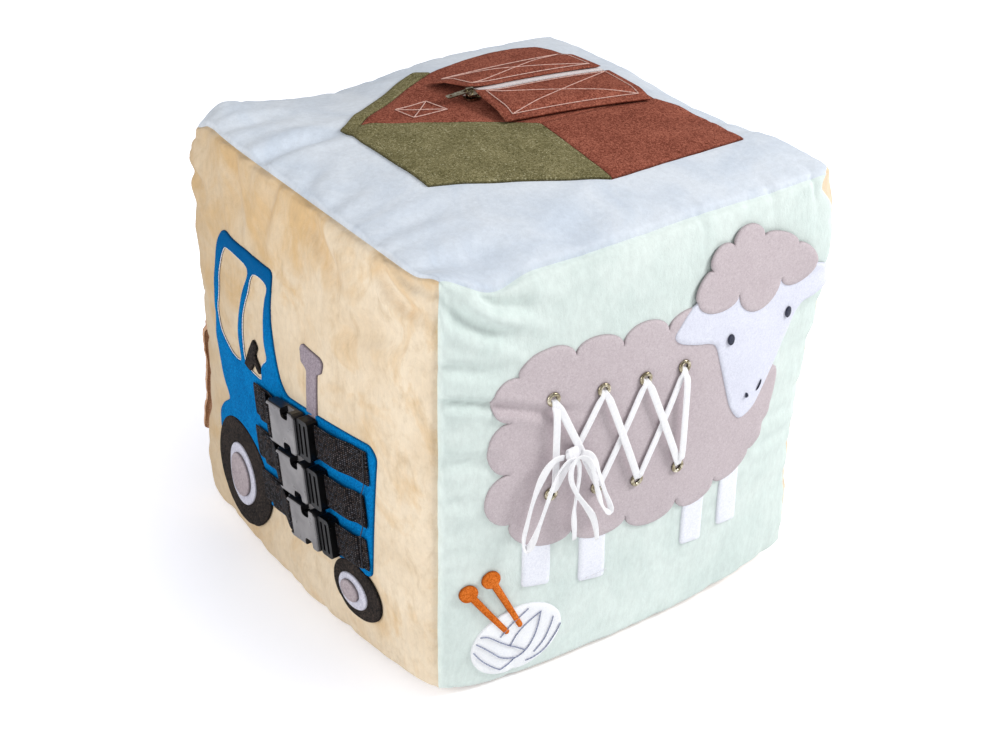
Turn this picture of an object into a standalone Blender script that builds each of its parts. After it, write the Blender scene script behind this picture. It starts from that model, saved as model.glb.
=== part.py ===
"""Soft fabric activity block for a small child, built as separate named pieces.

A foam cube is covered by six crowned fabric panels. One side carries a felt tractor with
three buckled straps, one a felt sheep laced through eyelets, and the top a felt barn whose
two doors are joined by a zip. Metres, +Z up, origin at the middle of the face it rests on.
"""

import math

import bmesh
import bpy
from mathutils import Matrix, Vector

# The cube and its covers
EDGE = 0.250
FABRIC = 0.003
SEAM_GAP = 0.0003
CORE_GAP = 0.0006
CORNER_LIFT = 0.010
FRONT_CROWN = 0.0125
RIGHT_CROWN = 0.0150
TOP_CROWN = 0.0125
BACK_CROWN = 0.0175
LEFT_CROWN = 0.0125
TOP_EDGE_BOW = 0.0011
BOTTOM_EDGE_BOW = 0.0070
CROWN_POWER = 0.6
EDGE_POWER = 4
BOTTOM_SAG_SHARE = 0.8
BOTTOM_PRESS_SHARE = 2.0
CROWDING_SHARE = 0.6
PANEL_STEPS = 10

# Felt shapes
FELT = 0.0015
FELT_GAP = 0.00035
ABUT_GAP = 0.0004
CUT_OVERRUN = 0.030
ARC_STEPS = 6
ROUND_STEPS = 28
CURVE_STEPS = 4

# Buckled straps
WEBBING_WIDTH = 0.020
WEBBING = 0.0012
STRAP_GAP = 0.0022
STRAP_STAGGER = 0.0081
STRAP_COUNT = 3
WHEEL_CLEARANCE = 0.0003
STRAP_RISE = math.radians(7)
SEAT_GAP = 0.0003
RUN_GAP = 0.0003
SOCKET_LENGTH = 0.031
SOCKET_SIDE_WALL = 0.0021
SOCKET_HEIGHT = 0.0076
SOCKET_LIFT = 0.0006
SOCKET_ROUND = 0.0012
SOCKET_SHOULDER = 0.0026
CAVITY_SIDE_WALL = 0.0033
CAVITY_HEIGHT = 0.0040
CAVITY_TOP_WALL = 0.0012
WINDOW_LENGTH = 0.0078
WINDOW_DEPTH = 0.0052
WINDOW_FROM_MOUTH = 0.0062
BAR = 0.0024
PLUG_REACH = 0.0150
PLUG_BASE = 0.0120
PLUG_SIDE_WALL = 0.0016
PLUG_TRAVEL = 0.0170
PLUG_CLEARANCE = 0.0004
CLIP_BAR = 0.0008
ARM_WIDTH = 0.0032
ARM_NECK = 0.0018
ARM_STEP = 0.0002
TONGUE_WIDTH = 0.0042
RUNG = 0.0026

# Eyelets and lace
EYELET_FLANGE_RADIUS = 0.0040
EYELET_RADIUS = 0.0026
EYELET_WALL = 0.0005
EYELET_FLANGE = 0.0007
EYELET_GAP = 0.0003
LACE_WIDTH = 0.0045
LACE = 0.0008
KNOT_SIZE = 0.0050
KNOT_SHAPE_SHARES = (1.0, 0.85, 0.42)

# Barn doors and zip
DOOR_FELT = 0.0016
DOOR_RISE = 0.0027
DOOR_SEAM = 0.014
DOOR_CURL = 0.0025
ZIP_TAPE = 0.0006
TAPE_WIDTH = 0.0078
COIL_WIDTH = 0.0016
COIL_HEIGHT = 0.0015
COIL_HALF_GAP = 0.0005
DOOR_TO_ZIP = 0.0046
SLIDER_LENGTH = 0.0088
SLIDER_WIDTH = 0.0080
SLIDER_PLATE = 0.0007
SLIDER_GAP = 0.0003
SLIDER_LIP = 0.0007
ARCH_BAR = 0.0008
ARCH_WIDTH = 0.0016
PULL_BAR = 0.0005
PULL_AXLE_LIFT = 0.0013
PULL_EYE = 0.0037
PULL_ARM = 0.0009
PULL_THICKNESS = 0.0008
PULL_TAB = 0.0110
PULL_DROP = math.radians(5)

HALF = EDGE / 2
CENTRE = Vector((0, 0, HALF))
SHRINK = 1 - FABRIC / HALF
CORE_SHRINK = SHRINK - CORE_GAP / HALF
FELT_TOP = FELT_GAP + FELT

FACES = {
    "front": (Vector((1, 0, 0)), Vector((0, 0, 1)), FRONT_CROWN),
    "right": (Vector((0, 1, 0)), Vector((0, 0, 1)), RIGHT_CROWN),
    "back": (Vector((-1, 0, 0)), Vector((0, 0, 1)), BACK_CROWN),
    "left": (Vector((0, -1, 0)), Vector((0, 0, 1)), LEFT_CROWN),
    "top": (Vector((1, 0, 0)), Vector((0, 1, 0)), TOP_CROWN),
    "bottom": (Vector((1, 0, 0)), Vector((0, -1, 0)), 0.0),
}

# Outlines of the felt shapes, as shares of half the cube's edge, from the middle of a face
TRACTOR_SHARES = [
    (-0.645, 0.61), (-0.155, 0.615), (-0.165, 0.46), (-0.175, 0.35), (-0.12, 0.18), (-0.09, 0.11),
    (-0.035, 0.06), (0.62, 0.14), (0.665, 0.10), (0.60, -0.55), (-0.30, -0.65), (-0.60, -0.70),
    (-0.79, -0.49), (-0.78, -0.39), (-0.73, -0.325), (-0.635, -0.26), (-0.69, -0.18), (-0.735, -0.05),
    (-0.765, 0.02), (-0.762, 0.12), (-0.768, 0.20), (-0.757, 0.32), (-0.732, 0.42), (-0.70, 0.53),
]
REAR_WINDOW_SHARES = [
    (-0.65, 0.495), (-0.59, 0.535), (-0.39, 0.525), (-0.43, 0.40), (-0.48, 0.24), (-0.49, 0.14),
    (-0.47, 0.03), (-0.55, 0.015), (-0.63, 0.04), (-0.695, 0.075), (-0.73, 0.13), (-0.735, 0.19),
    (-0.712, 0.28), (-0.695, 0.385),
]
FRONT_WINDOW_SHARES = [
    (-0.335, 0.52), (-0.205, 0.525), (-0.215, 0.45), (-0.235, 0.36), (-0.23, 0.24), (-0.207, 0.16),
    (-0.258, 0.10), (-0.265, 0.03), (-0.32, 0.02), (-0.39, 0.025), (-0.43, 0.05), (-0.445, 0.12),
    (-0.448, 0.21), (-0.43, 0.30), (-0.385, 0.405),
]
LEVER_SHARES = [
    (-0.33, 0.205), (-0.292, 0.175), (-0.315, 0.125), (-0.255, 0.065), (-0.275, 0.05), (-0.325, 0.085),
    (-0.362, 0.025), (-0.425, 0.035), (-0.37, 0.14),
]
EXHAUST_SHARES = [
    (0.09, 0.37), (0.11, 0.39), (0.25, 0.38), (0.27, 0.36), (0.26, 0.31), (0.225, 0.29),
    (0.225, 0.04), (0.145, 0.03), (0.145, 0.28), (0.10, 0.30),
]
REAR_WHEEL_SHARES = ((-0.527, -0.60), (0.275, 0.27))
REAR_RIM_SHARES = ((-0.535, -0.615), (0.137, 0.160))
REAR_HUB_SHARES = ((-0.535, -0.615), (0.095, 0.112))
FRONT_WHEEL_PLACE_SHARE = 0.485
FRONT_WHEEL_SHARES = ((0.0, 0.0), (0.178, 0.138))
FRONT_RIM_SHARES = ((-0.020, -0.012), (0.106, 0.084))
FRONT_HUB_SHARES = ((-0.028, -0.009), (0.064, 0.050))

SHEEP_NOTCH_SHARES = [
    (-0.66, 0.555), (-0.39, 0.585), (-0.155, 0.56), (0.08, 0.56), (0.30, 0.57), (0.50, 0.35),
    (0.74, 0.17), (0.615, -0.215), (0.39, -0.285), (0.17, -0.31), (-0.105, -0.295), (-0.39, -0.255),
    (-0.695, -0.13), (-0.71, 0.12), (-0.705, 0.36),
]
SHEEP_BULGE_SHARES = [
    0.29, 0.27, 0.31, 0.26, 0.0, 0.0, 0.16, 0.24, 0.36, 0.31, 0.25, 0.28, 0.44, 0.39, 0.50,
]
FORELOCK_NOTCH_SHARES = [
    (0.27, 0.56), (0.30, 0.72), (0.40, 0.84), (0.54, 0.87), (0.67, 0.82), (0.79, 0.76), (0.85, 0.60),
    (0.72, 0.585), (0.49, 0.59),
]
FORELOCK_BULGE_SHARES = [0.30, 0.26, 0.28, 0.28, 0.26, 0.30, 0.22, 0.42, 0.20]
FACE_SHARES = [
    (0.12, 0.50), (0.17, 0.60), (0.28, 0.62), (0.50, 0.66), (0.80, 0.62), (0.945, 0.585), (0.95, 0.545),
    (0.84, 0.44), (0.79, 0.28), (0.73, 0.10), (0.66, 0.00), (0.58, -0.03), (0.51, 0.02),
    (0.43, 0.20), (0.35, 0.39), (0.26, 0.44),
]
LEG_SHARES = [
    [(-0.63, -0.10), (-0.50, -0.10), (-0.487, -0.505), (-0.627, -0.475)],
    [(-0.35, -0.22), (-0.21, -0.22), (-0.197, -0.58), (-0.337, -0.555)],
    [(0.22, -0.26), (0.345, -0.26), (0.36, -0.605), (0.235, -0.59)],
    [(0.435, -0.20), (0.56, -0.20), (0.58, -0.58), (0.455, -0.57)],
]
BALL_SHARES = ((-0.63, -0.74), (0.220, 0.168))
NEEDLE_SHARES = [((-0.875, -0.43), (-0.685, -0.68)), ((-0.775, -0.385), (-0.62, -0.67))]
NEEDLE_HEAD = 0.0052
NEEDLE_WIDTH = 0.0046
NEEDLE_TIP_SHARE = 0.45

TOP_EYELET_SHARES = [(-0.507, 0.42), (-0.262, 0.392), (-0.048, 0.378), (0.160, 0.370)]
LOW_EYELET_SHARES = [(-0.511, -0.028), (-0.281, -0.070), (-0.072, -0.106), (0.153, -0.118)]
KNOT_SHARES = (-0.440, 0.160)

ROOF_SHARES = [
    (-0.385, -0.595), (0.325, -0.60), (0.67, 0.085), (0.10, 0.13), (-0.35, -0.515), (-0.715, 0.09),
    (-0.775, 0.03),
]
FRONT_WALL_SHARES = [(-0.35, -0.515), (-0.715, 0.09), (-0.80, 0.74), (0.07, 0.79), (0.10, 0.13)]
SIDE_WALL_SHARES = [(0.10, 0.13), (0.67, 0.085), (0.615, 0.825), (0.345, 0.87), (0.19, 0.845), (0.07, 0.79)]
DOOR_LEFT_HINGE_SHARES = ((-0.555, -0.03), (-0.58, 0.745))
DOOR_RIGHT_HINGE_SHARES = ((0.045, -0.01), (0.115, 0.745))
ZIP_SHARES = ((-0.290, 0.0), (-0.262, 0.765))
ZIP_STOP_SHARE = 0.04

TRIM_NOTCH_SHARES = [
    (0.86, 0.36), (0.93, 0.34), (0.95, 0.16), (0.95, -0.04), (0.95, -0.24), (0.94, -0.44),
    (0.93, -0.64), (0.88, -0.66), (0.86, -0.46), (0.85, -0.24), (0.85, -0.02), (0.85, 0.18),
]
TRIM_BULGE_SHARE = 0.16

FIRST_MOUTH_SHARES = (0.160, -0.025)
STRAP_LEFT_SHARES = [0.47, 0.54, 0.58]
STRAP_RIGHT_SHARES = [0.465, 0.375, 0.310]


def srgb(red, green, blue):
    """Linear colour of an sRGB colour whose channels run from 0 to 255."""
    channels = []
    for value in (red, green, blue):
        share = value / 255
        channels.append(share / 12.92 if share < 0.04045 else ((share + 0.055) / 1.055) ** 2.4)
    return (*channels, 1.0)


FINISHES = {
    "sky_plush": (srgb(208, 220, 235), 0.95, 0.0),
    "cream_plush": (srgb(235, 212, 172), 0.95, 0.0),
    "mint_plush": (srgb(213, 231, 223), 0.95, 0.0),
    "foam": (srgb(240, 238, 228), 0.95, 0.0),
    "blue_felt": (srgb(0, 105, 175), 0.95, 0.0),
    "black_felt": (srgb(45, 42, 42), 0.95, 0.0),
    "white_felt": (srgb(232, 233, 240), 0.95, 0.0),
    "grey_felt": (srgb(172, 158, 160), 0.95, 0.0),
    "sheep_felt": (srgb(203, 190, 194), 0.95, 0.0),
    "roof_felt": (srgb(125, 130, 90), 0.95, 0.0),
    "barn_felt": (srgb(135, 70, 55), 0.95, 0.0),
    "orange_felt": (srgb(230, 112, 22), 0.95, 0.0),
    "tan_felt": (srgb(175, 125, 90), 0.95, 0.0),
    "black_webbing": (srgb(38, 36, 37), 0.85, 0.0),
    "grey_plastic": (srgb(140, 136, 140), 0.35, 0.0),
    "black_plastic": (srgb(34, 33, 35), 0.35, 0.0),
    "cotton_lace": (srgb(240, 240, 240), 0.9, 0.0),
    "zip_tape": (srgb(238, 232, 232), 0.85, 0.0),
    "antique_metal": (srgb(150, 140, 120), 0.35, 1.0),
}


def clear_scene():
    for item in list(bpy.data.objects):
        bpy.data.objects.remove(item, do_unlink=True)


def new_collection(name):
    collection = bpy.data.collections.new(name)
    bpy.context.scene.collection.children.link(collection)
    return collection


def material(name):
    found = bpy.data.materials.get(name)
    if found:
        return found
    colour, roughness, metallic = FINISHES[name]
    made = bpy.data.materials.new(name)
    made.use_nodes = True
    shader = made.node_tree.nodes["Principled BSDF"]
    shader.inputs["Base Color"].default_value = colour
    shader.inputs["Roughness"].default_value = roughness
    shader.inputs["Metallic"].default_value = metallic
    return made


def add_object(name, bm, finish, matrix=None):
    """Put a bmesh into the model as one named piece with its material."""
    mesh = bpy.data.meshes.new(name)
    bmesh.ops.recalc_face_normals(bm, faces=bm.faces[:])
    bm.to_mesh(mesh)
    bm.free()
    piece = bpy.data.objects.new(name, mesh)
    block.objects.link(piece)
    piece.data.materials.append(material(finish))
    if matrix is not None:
        piece.matrix_world = matrix
    return piece


def pivot(name, place, axis, pieces):
    """Empty on a joint's axis, with its Z along the axis, that carries the pieces that move."""
    hinge = bpy.data.objects.new(name, None)
    hinge.empty_display_size = FELT
    turn = Vector((0, 0, 1)).rotation_difference(axis.normalized())
    hinge.matrix_world = Matrix.LocRotScale(place, turn, None)
    block.objects.link(hinge)
    for piece in pieces:
        piece.parent = hinge
        piece.matrix_parent_inverse = hinge.matrix_world.inverted()
    return hinge


def make_cutter(piece):
    """Turn a piece into a hidden cutting tool."""
    for collection in list(piece.users_collection):
        collection.objects.unlink(piece)
    cutters.objects.link(piece)
    piece.hide_render = True
    piece.display_type = "WIRE"
    return piece


def add_boolean(piece, cutter, operation="DIFFERENCE"):
    modifier = piece.modifiers.new(cutter.name, "BOOLEAN")
    modifier.operation = operation
    modifier.solver = "EXACT"
    modifier.object = cutter
    return modifier


# The crowned faces of the cube


def bow(share):
    """One in the middle of an edge and zero at its ends."""
    return max(0.0, 1 - share * share)


def skeleton(x, y, z):
    """Point of the cube's uncrowned skin, from shares between -1 and 1."""
    rise = (z + 1) / 2
    point = Vector((HALF * x, HALF * y, CORNER_LIFT + (EDGE - CORNER_LIFT) * rise))
    along_x = bow(x) * abs(y) ** EDGE_POWER
    along_y = bow(y) * abs(x) ** EDGE_POWER
    upper = max(z, 0.0) ** EDGE_POWER
    lower = max(-z, 0.0) ** EDGE_POWER
    push = upper * TOP_EDGE_BOW + lower * BOTTOM_EDGE_BOW
    point.x += math.copysign(push * along_y, x)
    point.y += math.copysign(push * along_x, y)
    point.z += upper * TOP_EDGE_BOW * (along_x + along_y)
    point.z -= lower * CORNER_LIFT * BOTTOM_SAG_SHARE * (along_x + along_y)
    return point


def face_normal(face):
    across, up, _ = FACES[face]
    return across.cross(up)


def surface(face, a, b):
    """Point of the crowned face in world space, from shares across and up the face."""
    across, up, crown = FACES[face]
    normal = face_normal(face)
    shares = across * a + up * b + normal
    point = skeleton(*shares)
    swell = (bow(a) * bow(b)) ** CROWN_POWER
    if face == "bottom":
        point.z = max(0.0, point.z - BOTTOM_PRESS_SHARE * CORNER_LIFT * swell)
        return point
    return point + normal * crown * swell


def face_matrix(face):
    """Frame in the flat face: X across, Y up, Z out, with its origin at the face's middle."""
    across, up, _ = FACES[face]
    normal = face_normal(face)
    turn = Matrix((across, up, normal)).transposed().to_4x4()
    return Matrix.Translation(CENTRE + normal * HALF) @ turn


def local_surface(face, u, v):
    """Height of the crowned face over the flat face, at a place in metres from its middle."""
    inverse = face_matrix(face).inverted()
    a = u / HALF
    b = v / HALF
    for _ in range(12):
        here = inverse @ surface(face, a, b)
        a = min(1.0, max(-1.0, a + (u - here.x) / HALF))
        b = min(1.0, max(-1.0, b + (v - here.y) / HALF))
    return (inverse @ surface(face, a, b)).z


def tangent_frame(face, u, v, turn):
    """Frame on the crowned face with X along a direction in the face and Z straight out."""
    step = FELT
    slope_u = (local_surface(face, u + step, v) - local_surface(face, u - step, v)) / (2 * step)
    slope_v = (local_surface(face, u, v + step) - local_surface(face, u, v - step)) / (2 * step)
    out = Vector((-slope_u, -slope_v, 1)).normalized()
    along = Vector((math.cos(turn), math.sin(turn), 0))
    along = (along - out * along.dot(out)).normalized()
    side = out.cross(along)
    place = Matrix.Translation(Vector((u, v, local_surface(face, u, v))))
    return face_matrix(face) @ place @ Matrix((along, side, out)).transposed().to_4x4()


def crowded(share):
    """Grid step that is finer near the edges, where a cushion curves most."""
    return (1 - CROWDING_SHARE) * share + CROWDING_SHARE * math.sin(math.pi / 2 * share)


def face_grid(face, reach=1.0, lift=0.0, scale=1.0):
    """Open triangulated sheet on one crowned face."""
    bm = bmesh.new()
    bmesh.ops.create_grid(bm, x_segments=PANEL_STEPS, y_segments=PANEL_STEPS, size=1.0)
    normal = face_normal(face)
    for vert in bm.verts:
        point = surface(face, crowded(vert.co.x) * reach, crowded(vert.co.y) * reach)
        vert.co = CENTRE + (point + normal * lift - CENTRE) * scale
    bmesh.ops.triangulate(bm, faces=bm.faces[:], quad_method="FIXED")
    return bm


def thicken(bm, move):
    """Close an open sheet by extruding it and moving the copy."""
    made = bmesh.ops.extrude_face_region(bm, geom=bm.faces[:])
    for item in made["geom"]:
        if isinstance(item, bmesh.types.BMVert):
            item.co = move(item.co)


def fabric_panel(face, finish):
    bm = face_grid(face, reach=1 - SEAM_GAP / EDGE)
    thicken(bm, lambda point: CENTRE + (point - CENTRE) * SHRINK)
    return add_object(f"{face}_panel", bm, finish)


def foam_core():
    """One closed body from six sheets that meet at the cube's edges."""
    whole = bmesh.new()
    for face in FACES:
        sheet = face_grid(face, scale=CORE_SHRINK)
        mesh = bpy.data.meshes.new(face)
        sheet.to_mesh(mesh)
        sheet.free()
        whole.from_mesh(mesh)
        bpy.data.meshes.remove(mesh)
    bmesh.ops.remove_doubles(whole, verts=whole.verts[:], dist=SEAM_GAP / 10)
    return add_object("foam_core", whole, "foam")


# Flat outlines


def places(shares):
    """Outline points in metres from shares of half the cube's edge."""
    return [Vector((u * HALF, v * HALF)) for u, v in shares]


def smooth_outline(points, steps=CURVE_STEPS):
    """Closed curve through the points."""
    count = len(points)
    result = []
    for i in range(count):
        before, start, end, after = (points[(i + k) % count] for k in (-1, 0, 1, 2))
        for step in range(steps):
            t = step / steps
            point = 0.5 * (2 * start + (end - before) * t
                           + (2 * before - 5 * start + 4 * end - after) * t ** 2
                           + (3 * start - before - 3 * end + after) * t ** 3)
            result.append(point)
    return result


def rounded_outline(points, radius, steps=3):
    """Polygon whose corners are rounded by about the radius."""
    count = len(points)
    result = []
    for i in range(count):
        corner = points[i]
        back = points[i - 1] - corner
        ahead = points[(i + 1) % count] - corner
        reach = min(radius, back.length / 2.2, ahead.length / 2.2)
        start = corner + back.normalized() * reach
        end = corner + ahead.normalized() * reach
        for step in range(steps + 1):
            t = step / steps
            result.append(start * (1 - t) ** 2 + corner * 2 * t * (1 - t) + end * t ** 2)
    return result


def scalloped_outline(notches, bulges, steps=ARC_STEPS):
    """Closed outline whose stretches between notches bulge outwards like wool."""
    count = len(notches)
    turning = sum(notches[i - 1].cross(notches[i]) for i in range(count))
    side = 1 if turning < 0 else -1
    result = []
    for i in range(count):
        start = notches[i]
        end = notches[(i + 1) % count]
        chord = end - start
        out = Vector((-chord.y, chord.x)) * side
        for step in range(steps):
            t = step / steps
            bulge = bulges[i] * 2 * math.sqrt(max(0.0, t * (1 - t)))
            result.append(start + chord * t + out * bulge)
    return result


def ellipse_outline(shares, steps=ROUND_STEPS, centre=Vector((0, 0))):
    (u, v), (wide, tall) = shares
    result = []
    for step in range(steps):
        angle = 2 * math.pi * step / steps
        spot = Vector((u + wide * math.cos(angle), v + tall * math.sin(angle)))
        result.append(centre + spot * HALF)
    return result


def grown(outline, distance):
    """Outline moved outwards by a distance, or inwards by a negative one."""
    count = len(outline)
    area = sum(outline[i - 1].cross(outline[i]) for i in range(count))
    side = 1 if area > 0 else -1
    result = []
    for i in range(count):
        before = (outline[i] - outline[i - 1]).normalized()
        after = (outline[(i + 1) % count] - outline[i]).normalized()
        mean = (before + after).normalized()
        out = Vector((mean.y, -mean.x)) * side
        stretch = 1 / max(0.5, math.sqrt(max(0.0, (1 + before.dot(after)) / 2)))
        result.append(outline[i] + out * distance * stretch)
    return result


def prism(name, outlines, low, high, matrix, finish="foam"):
    """Straight prism on flat outlines, the later ones being holes in the first."""
    curve = bpy.data.curves.new(name, "CURVE")
    curve.dimensions = "2D"
    curve.fill_mode = "BOTH"
    curve.extrude = (high - low) / 2
    for outline in outlines:
        spline = curve.splines.new("POLY")
        spline.points.add(len(outline) - 1)
        for point, place in zip(spline.points, outline):
            point.co = (place.x, place.y, 0, 1)
        spline.use_cyclic_u = True
    guide = bpy.data.objects.new(name, curve)
    bpy.context.scene.collection.objects.link(guide)
    bpy.context.view_layer.update()
    evaluated = guide.evaluated_get(bpy.context.evaluated_depsgraph_get())
    mesh = bpy.data.meshes.new_from_object(evaluated)
    bpy.data.objects.remove(guide, do_unlink=True)
    bm = bmesh.new()
    bm.from_mesh(mesh)
    bpy.data.meshes.remove(mesh)
    bmesh.ops.remove_doubles(bm, verts=bm.verts[:], dist=SEAM_GAP / 30)
    middle = Matrix.Translation(Vector((0, 0, (high + low) / 2)))
    return add_object(name, bm, finish, matrix @ middle)


def face_cutter(name, face, outlines):
    """Cutter that stands through a whole face."""
    return make_cutter(prism(name, outlines, -CUT_OVERRUN, CUT_OVERRUN * 2, face_matrix(face)))


def felt_shape(name, face, outlines, finish, layer=0, minus=()):
    """Felt cut to an outline, lying on the crowned face or on felt already there."""
    low = FELT_GAP + layer * FELT_TOP
    normal = face_normal(face)
    bm = face_grid(face, lift=low)
    thicken(bm, lambda point: point + normal * FELT)
    piece = add_object(name, bm, finish)
    add_boolean(piece, face_cutter(f"{name}_outline", face, outlines), "INTERSECT")
    for number, outline in enumerate(minus):
        cutter = face_cutter(f"{name}_clear_{number}", face, [grown(outline, ABUT_GAP)])
        add_boolean(piece, cutter)
    return piece


# Front face: the tractor


def strap_mouth(number):
    """Place on the front face of one buckle's mouth; each strap sits below and right of the last."""
    step = Vector((STRAP_STAGGER, -SOCKET_WIDTH - STRAP_GAP))
    return Vector(FIRST_MOUTH_SHARES) * HALF + step * (number - 1)


def front_axle():
    """Middle of the front wheel, whose tyre reaches up to the lowest strap's border."""
    mouth = strap_mouth(STRAP_COUNT)
    across = FRONT_WHEEL_PLACE_SHARE * HALF
    border = mouth.y + (across - mouth.x) * math.tan(STRAP_RISE) - SOCKET_WIDTH / 2
    return Vector((across, border - WHEEL_CLEARANCE - FRONT_WHEEL_SHARES[1][1] * HALF))


def tractor():
    corner = 0.04 * HALF
    body = rounded_outline(places(TRACTOR_SHARES), corner)
    rear_window = smooth_outline(places(REAR_WINDOW_SHARES), 2)
    front_window = smooth_outline(places(FRONT_WINDOW_SHARES), 2)
    lever = rounded_outline(places(LEVER_SHARES), corner / 3, 1)
    rear_wheel = ellipse_outline(REAR_WHEEL_SHARES)
    axle = front_axle()
    front_wheel = ellipse_outline(FRONT_WHEEL_SHARES, centre=axle)
    front_rim = ellipse_outline(FRONT_RIM_SHARES, centre=axle)
    front_hub = ellipse_outline(FRONT_HUB_SHARES, centre=axle)
    felt_shape("tractor_body", "front", [body, rear_window, front_window], "blue_felt",
               minus=[rear_wheel, front_wheel, lever])
    felt_shape("gear_lever", "front", [lever], "black_felt")
    felt_shape("exhaust_pipe", "front", [places(EXHAUST_SHARES)], "grey_felt", minus=[body])
    felt_shape("rear_tyre", "front", [rear_wheel], "black_felt")
    felt_shape("rear_rim", "front", [ellipse_outline(REAR_RIM_SHARES)], "white_felt", layer=1)
    felt_shape("rear_hub", "front", [ellipse_outline(REAR_HUB_SHARES)], "grey_felt", layer=2)
    felt_shape("front_tyre", "front", [front_wheel], "black_felt")
    felt_shape("front_rim", "front", [front_rim], "white_felt", layer=1)
    felt_shape("front_hub", "front", [front_hub], "grey_felt", layer=2)


def ribbon(name, path, thickness, width, matrix, finish):
    """Flat webbing whose side view follows a path of (along, height) points."""
    upper = []
    lower = []
    for i, point in enumerate(path):
        before = path[max(0, i - 1)]
        after = path[min(len(path) - 1, i + 1)]
        along = (after - before).normalized()
        out = Vector((-along.y, along.x)) * thickness / 2
        upper.append(point + out)
        lower.append(point - out)
    outline = upper + lower[::-1]
    side_view = matrix @ Matrix.Rotation(math.pi / 2, 4, "X")
    return prism(name, [outline], -width / 2, width / 2, side_view, finish)


def slab(name, outline, low, high, matrix, finish="grey_plastic"):
    return prism(name, [outline], low, high, matrix, finish)


def box_outline(x_low, x_high, y_low, y_high):
    return [Vector((x_low, y_low)), Vector((x_high, y_low)), Vector((x_high, y_high)), Vector((x_low, y_high))]


def cut_box(piece, name, x_span, y_span, z_span, matrix):
    cutter = make_cutter(slab(name, box_outline(*x_span, *y_span), *z_span, matrix))
    add_boolean(piece, cutter)
    return cutter


SOCKET_WIDTH = WEBBING_WIDTH + 2 * (PLUG_CLEARANCE + SOCKET_SIDE_WALL)
CAVITY_WIDTH = SOCKET_WIDTH - 2 * CAVITY_SIDE_WALL
PLUG_WIDTH = WEBBING_WIDTH + 2 * (PLUG_CLEARANCE + PLUG_SIDE_WALL)
WEBBING_LOW = SEAT_GAP + CLIP_BAR + RUN_GAP
WEBBING_MIDDLE = WEBBING_LOW + WEBBING / 2
PLUG_LOW = WEBBING_LOW + WEBBING + RUN_GAP
CAVITY_HIGH = SOCKET_LIFT + SOCKET_HEIGHT - CAVITY_TOP_WALL
CAVITY_LOW = CAVITY_HIGH - CAVITY_HEIGHT
PLUG_HIGH = CAVITY_HIGH - PLUG_CLEARANCE
ARM_LOW = max(PLUG_LOW, CAVITY_LOW + PLUG_CLEARANCE)
LOOP_RADIUS = BAR * 0.71 + RUN_GAP + WEBBING / 2
BAR_HEIGHT = SOCKET_LIFT + SOCKET_HEIGHT / 2
SLOT_END = -SOCKET_LENGTH + BAR / 2 + LOOP_RADIUS + WEBBING / 2 + RUN_GAP


def buckle_socket(number, frame):
    """Flattened box with a mouth on the right, side windows and a bar for its strap."""
    wide = SOCKET_WIDTH / 2
    shoulder = SOCKET_SHOULDER
    outline = [
        Vector((-SOCKET_LENGTH, -wide + shoulder)), Vector((-SOCKET_LENGTH + shoulder, -wide)),
        Vector((-shoulder, -wide)), Vector((0, -wide + shoulder / 2)),
        Vector((0, wide - shoulder / 2)), Vector((-shoulder, wide)),
        Vector((-SOCKET_LENGTH + shoulder, wide)), Vector((-SOCKET_LENGTH, wide - shoulder)),
    ]
    low = SOCKET_LIFT
    high = SOCKET_LIFT + SOCKET_HEIGHT
    socket = slab(f"buckle_socket_{number}", outline, low, high, frame)
    bevel = socket.modifiers.new("rounding", "BEVEL")
    bevel.width = SOCKET_ROUND
    bevel.segments = 2
    bevel.limit_method = "ANGLE"
    bevel.angle_limit = math.radians(60)
    cavity = (-PLUG_REACH - PLUG_CLEARANCE * 2, BAR)
    half_cavity = CAVITY_WIDTH / 2
    cut_box(socket, f"mouth_{number}", cavity, (-half_cavity, half_cavity), (CAVITY_LOW, CAVITY_HIGH), frame)
    window_right = -WINDOW_FROM_MOUTH
    window_left = window_right - WINDOW_LENGTH
    for side in (-1, 1):
        inner = side * (wide - WINDOW_DEPTH)
        outer = side * (wide + BAR)
        window = rounded_outline(box_outline(window_left, window_right, *sorted((inner, outer))), WINDOW_DEPTH / 2)
        name = f"window_{number}_{'low' if side < 0 else 'high'}"
        add_boolean(socket, make_cutter(slab(name, window, CAVITY_LOW, high + BAR, frame)))
    slot_half = WEBBING_WIDTH / 2 + PLUG_CLEARANCE
    bar_end = -SOCKET_LENGTH + BAR
    opening = (-SOCKET_LENGTH - BAR, SLOT_END)
    cut_box(socket, f"slot_{number}", opening, (-slot_half, slot_half), (-BAR, high + BAR), frame)
    bar_low = BAR_HEIGHT - BAR / 2
    bar_high = BAR_HEIGHT + BAR / 2
    bar = make_cutter(slab(f"bar_{number}", box_outline(-SOCKET_LENGTH, bar_end, -slot_half - BAR / 2,
                                                        slot_half + BAR / 2), bar_low, bar_high, frame))
    add_boolean(socket, bar, "UNION")
    return socket


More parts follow.
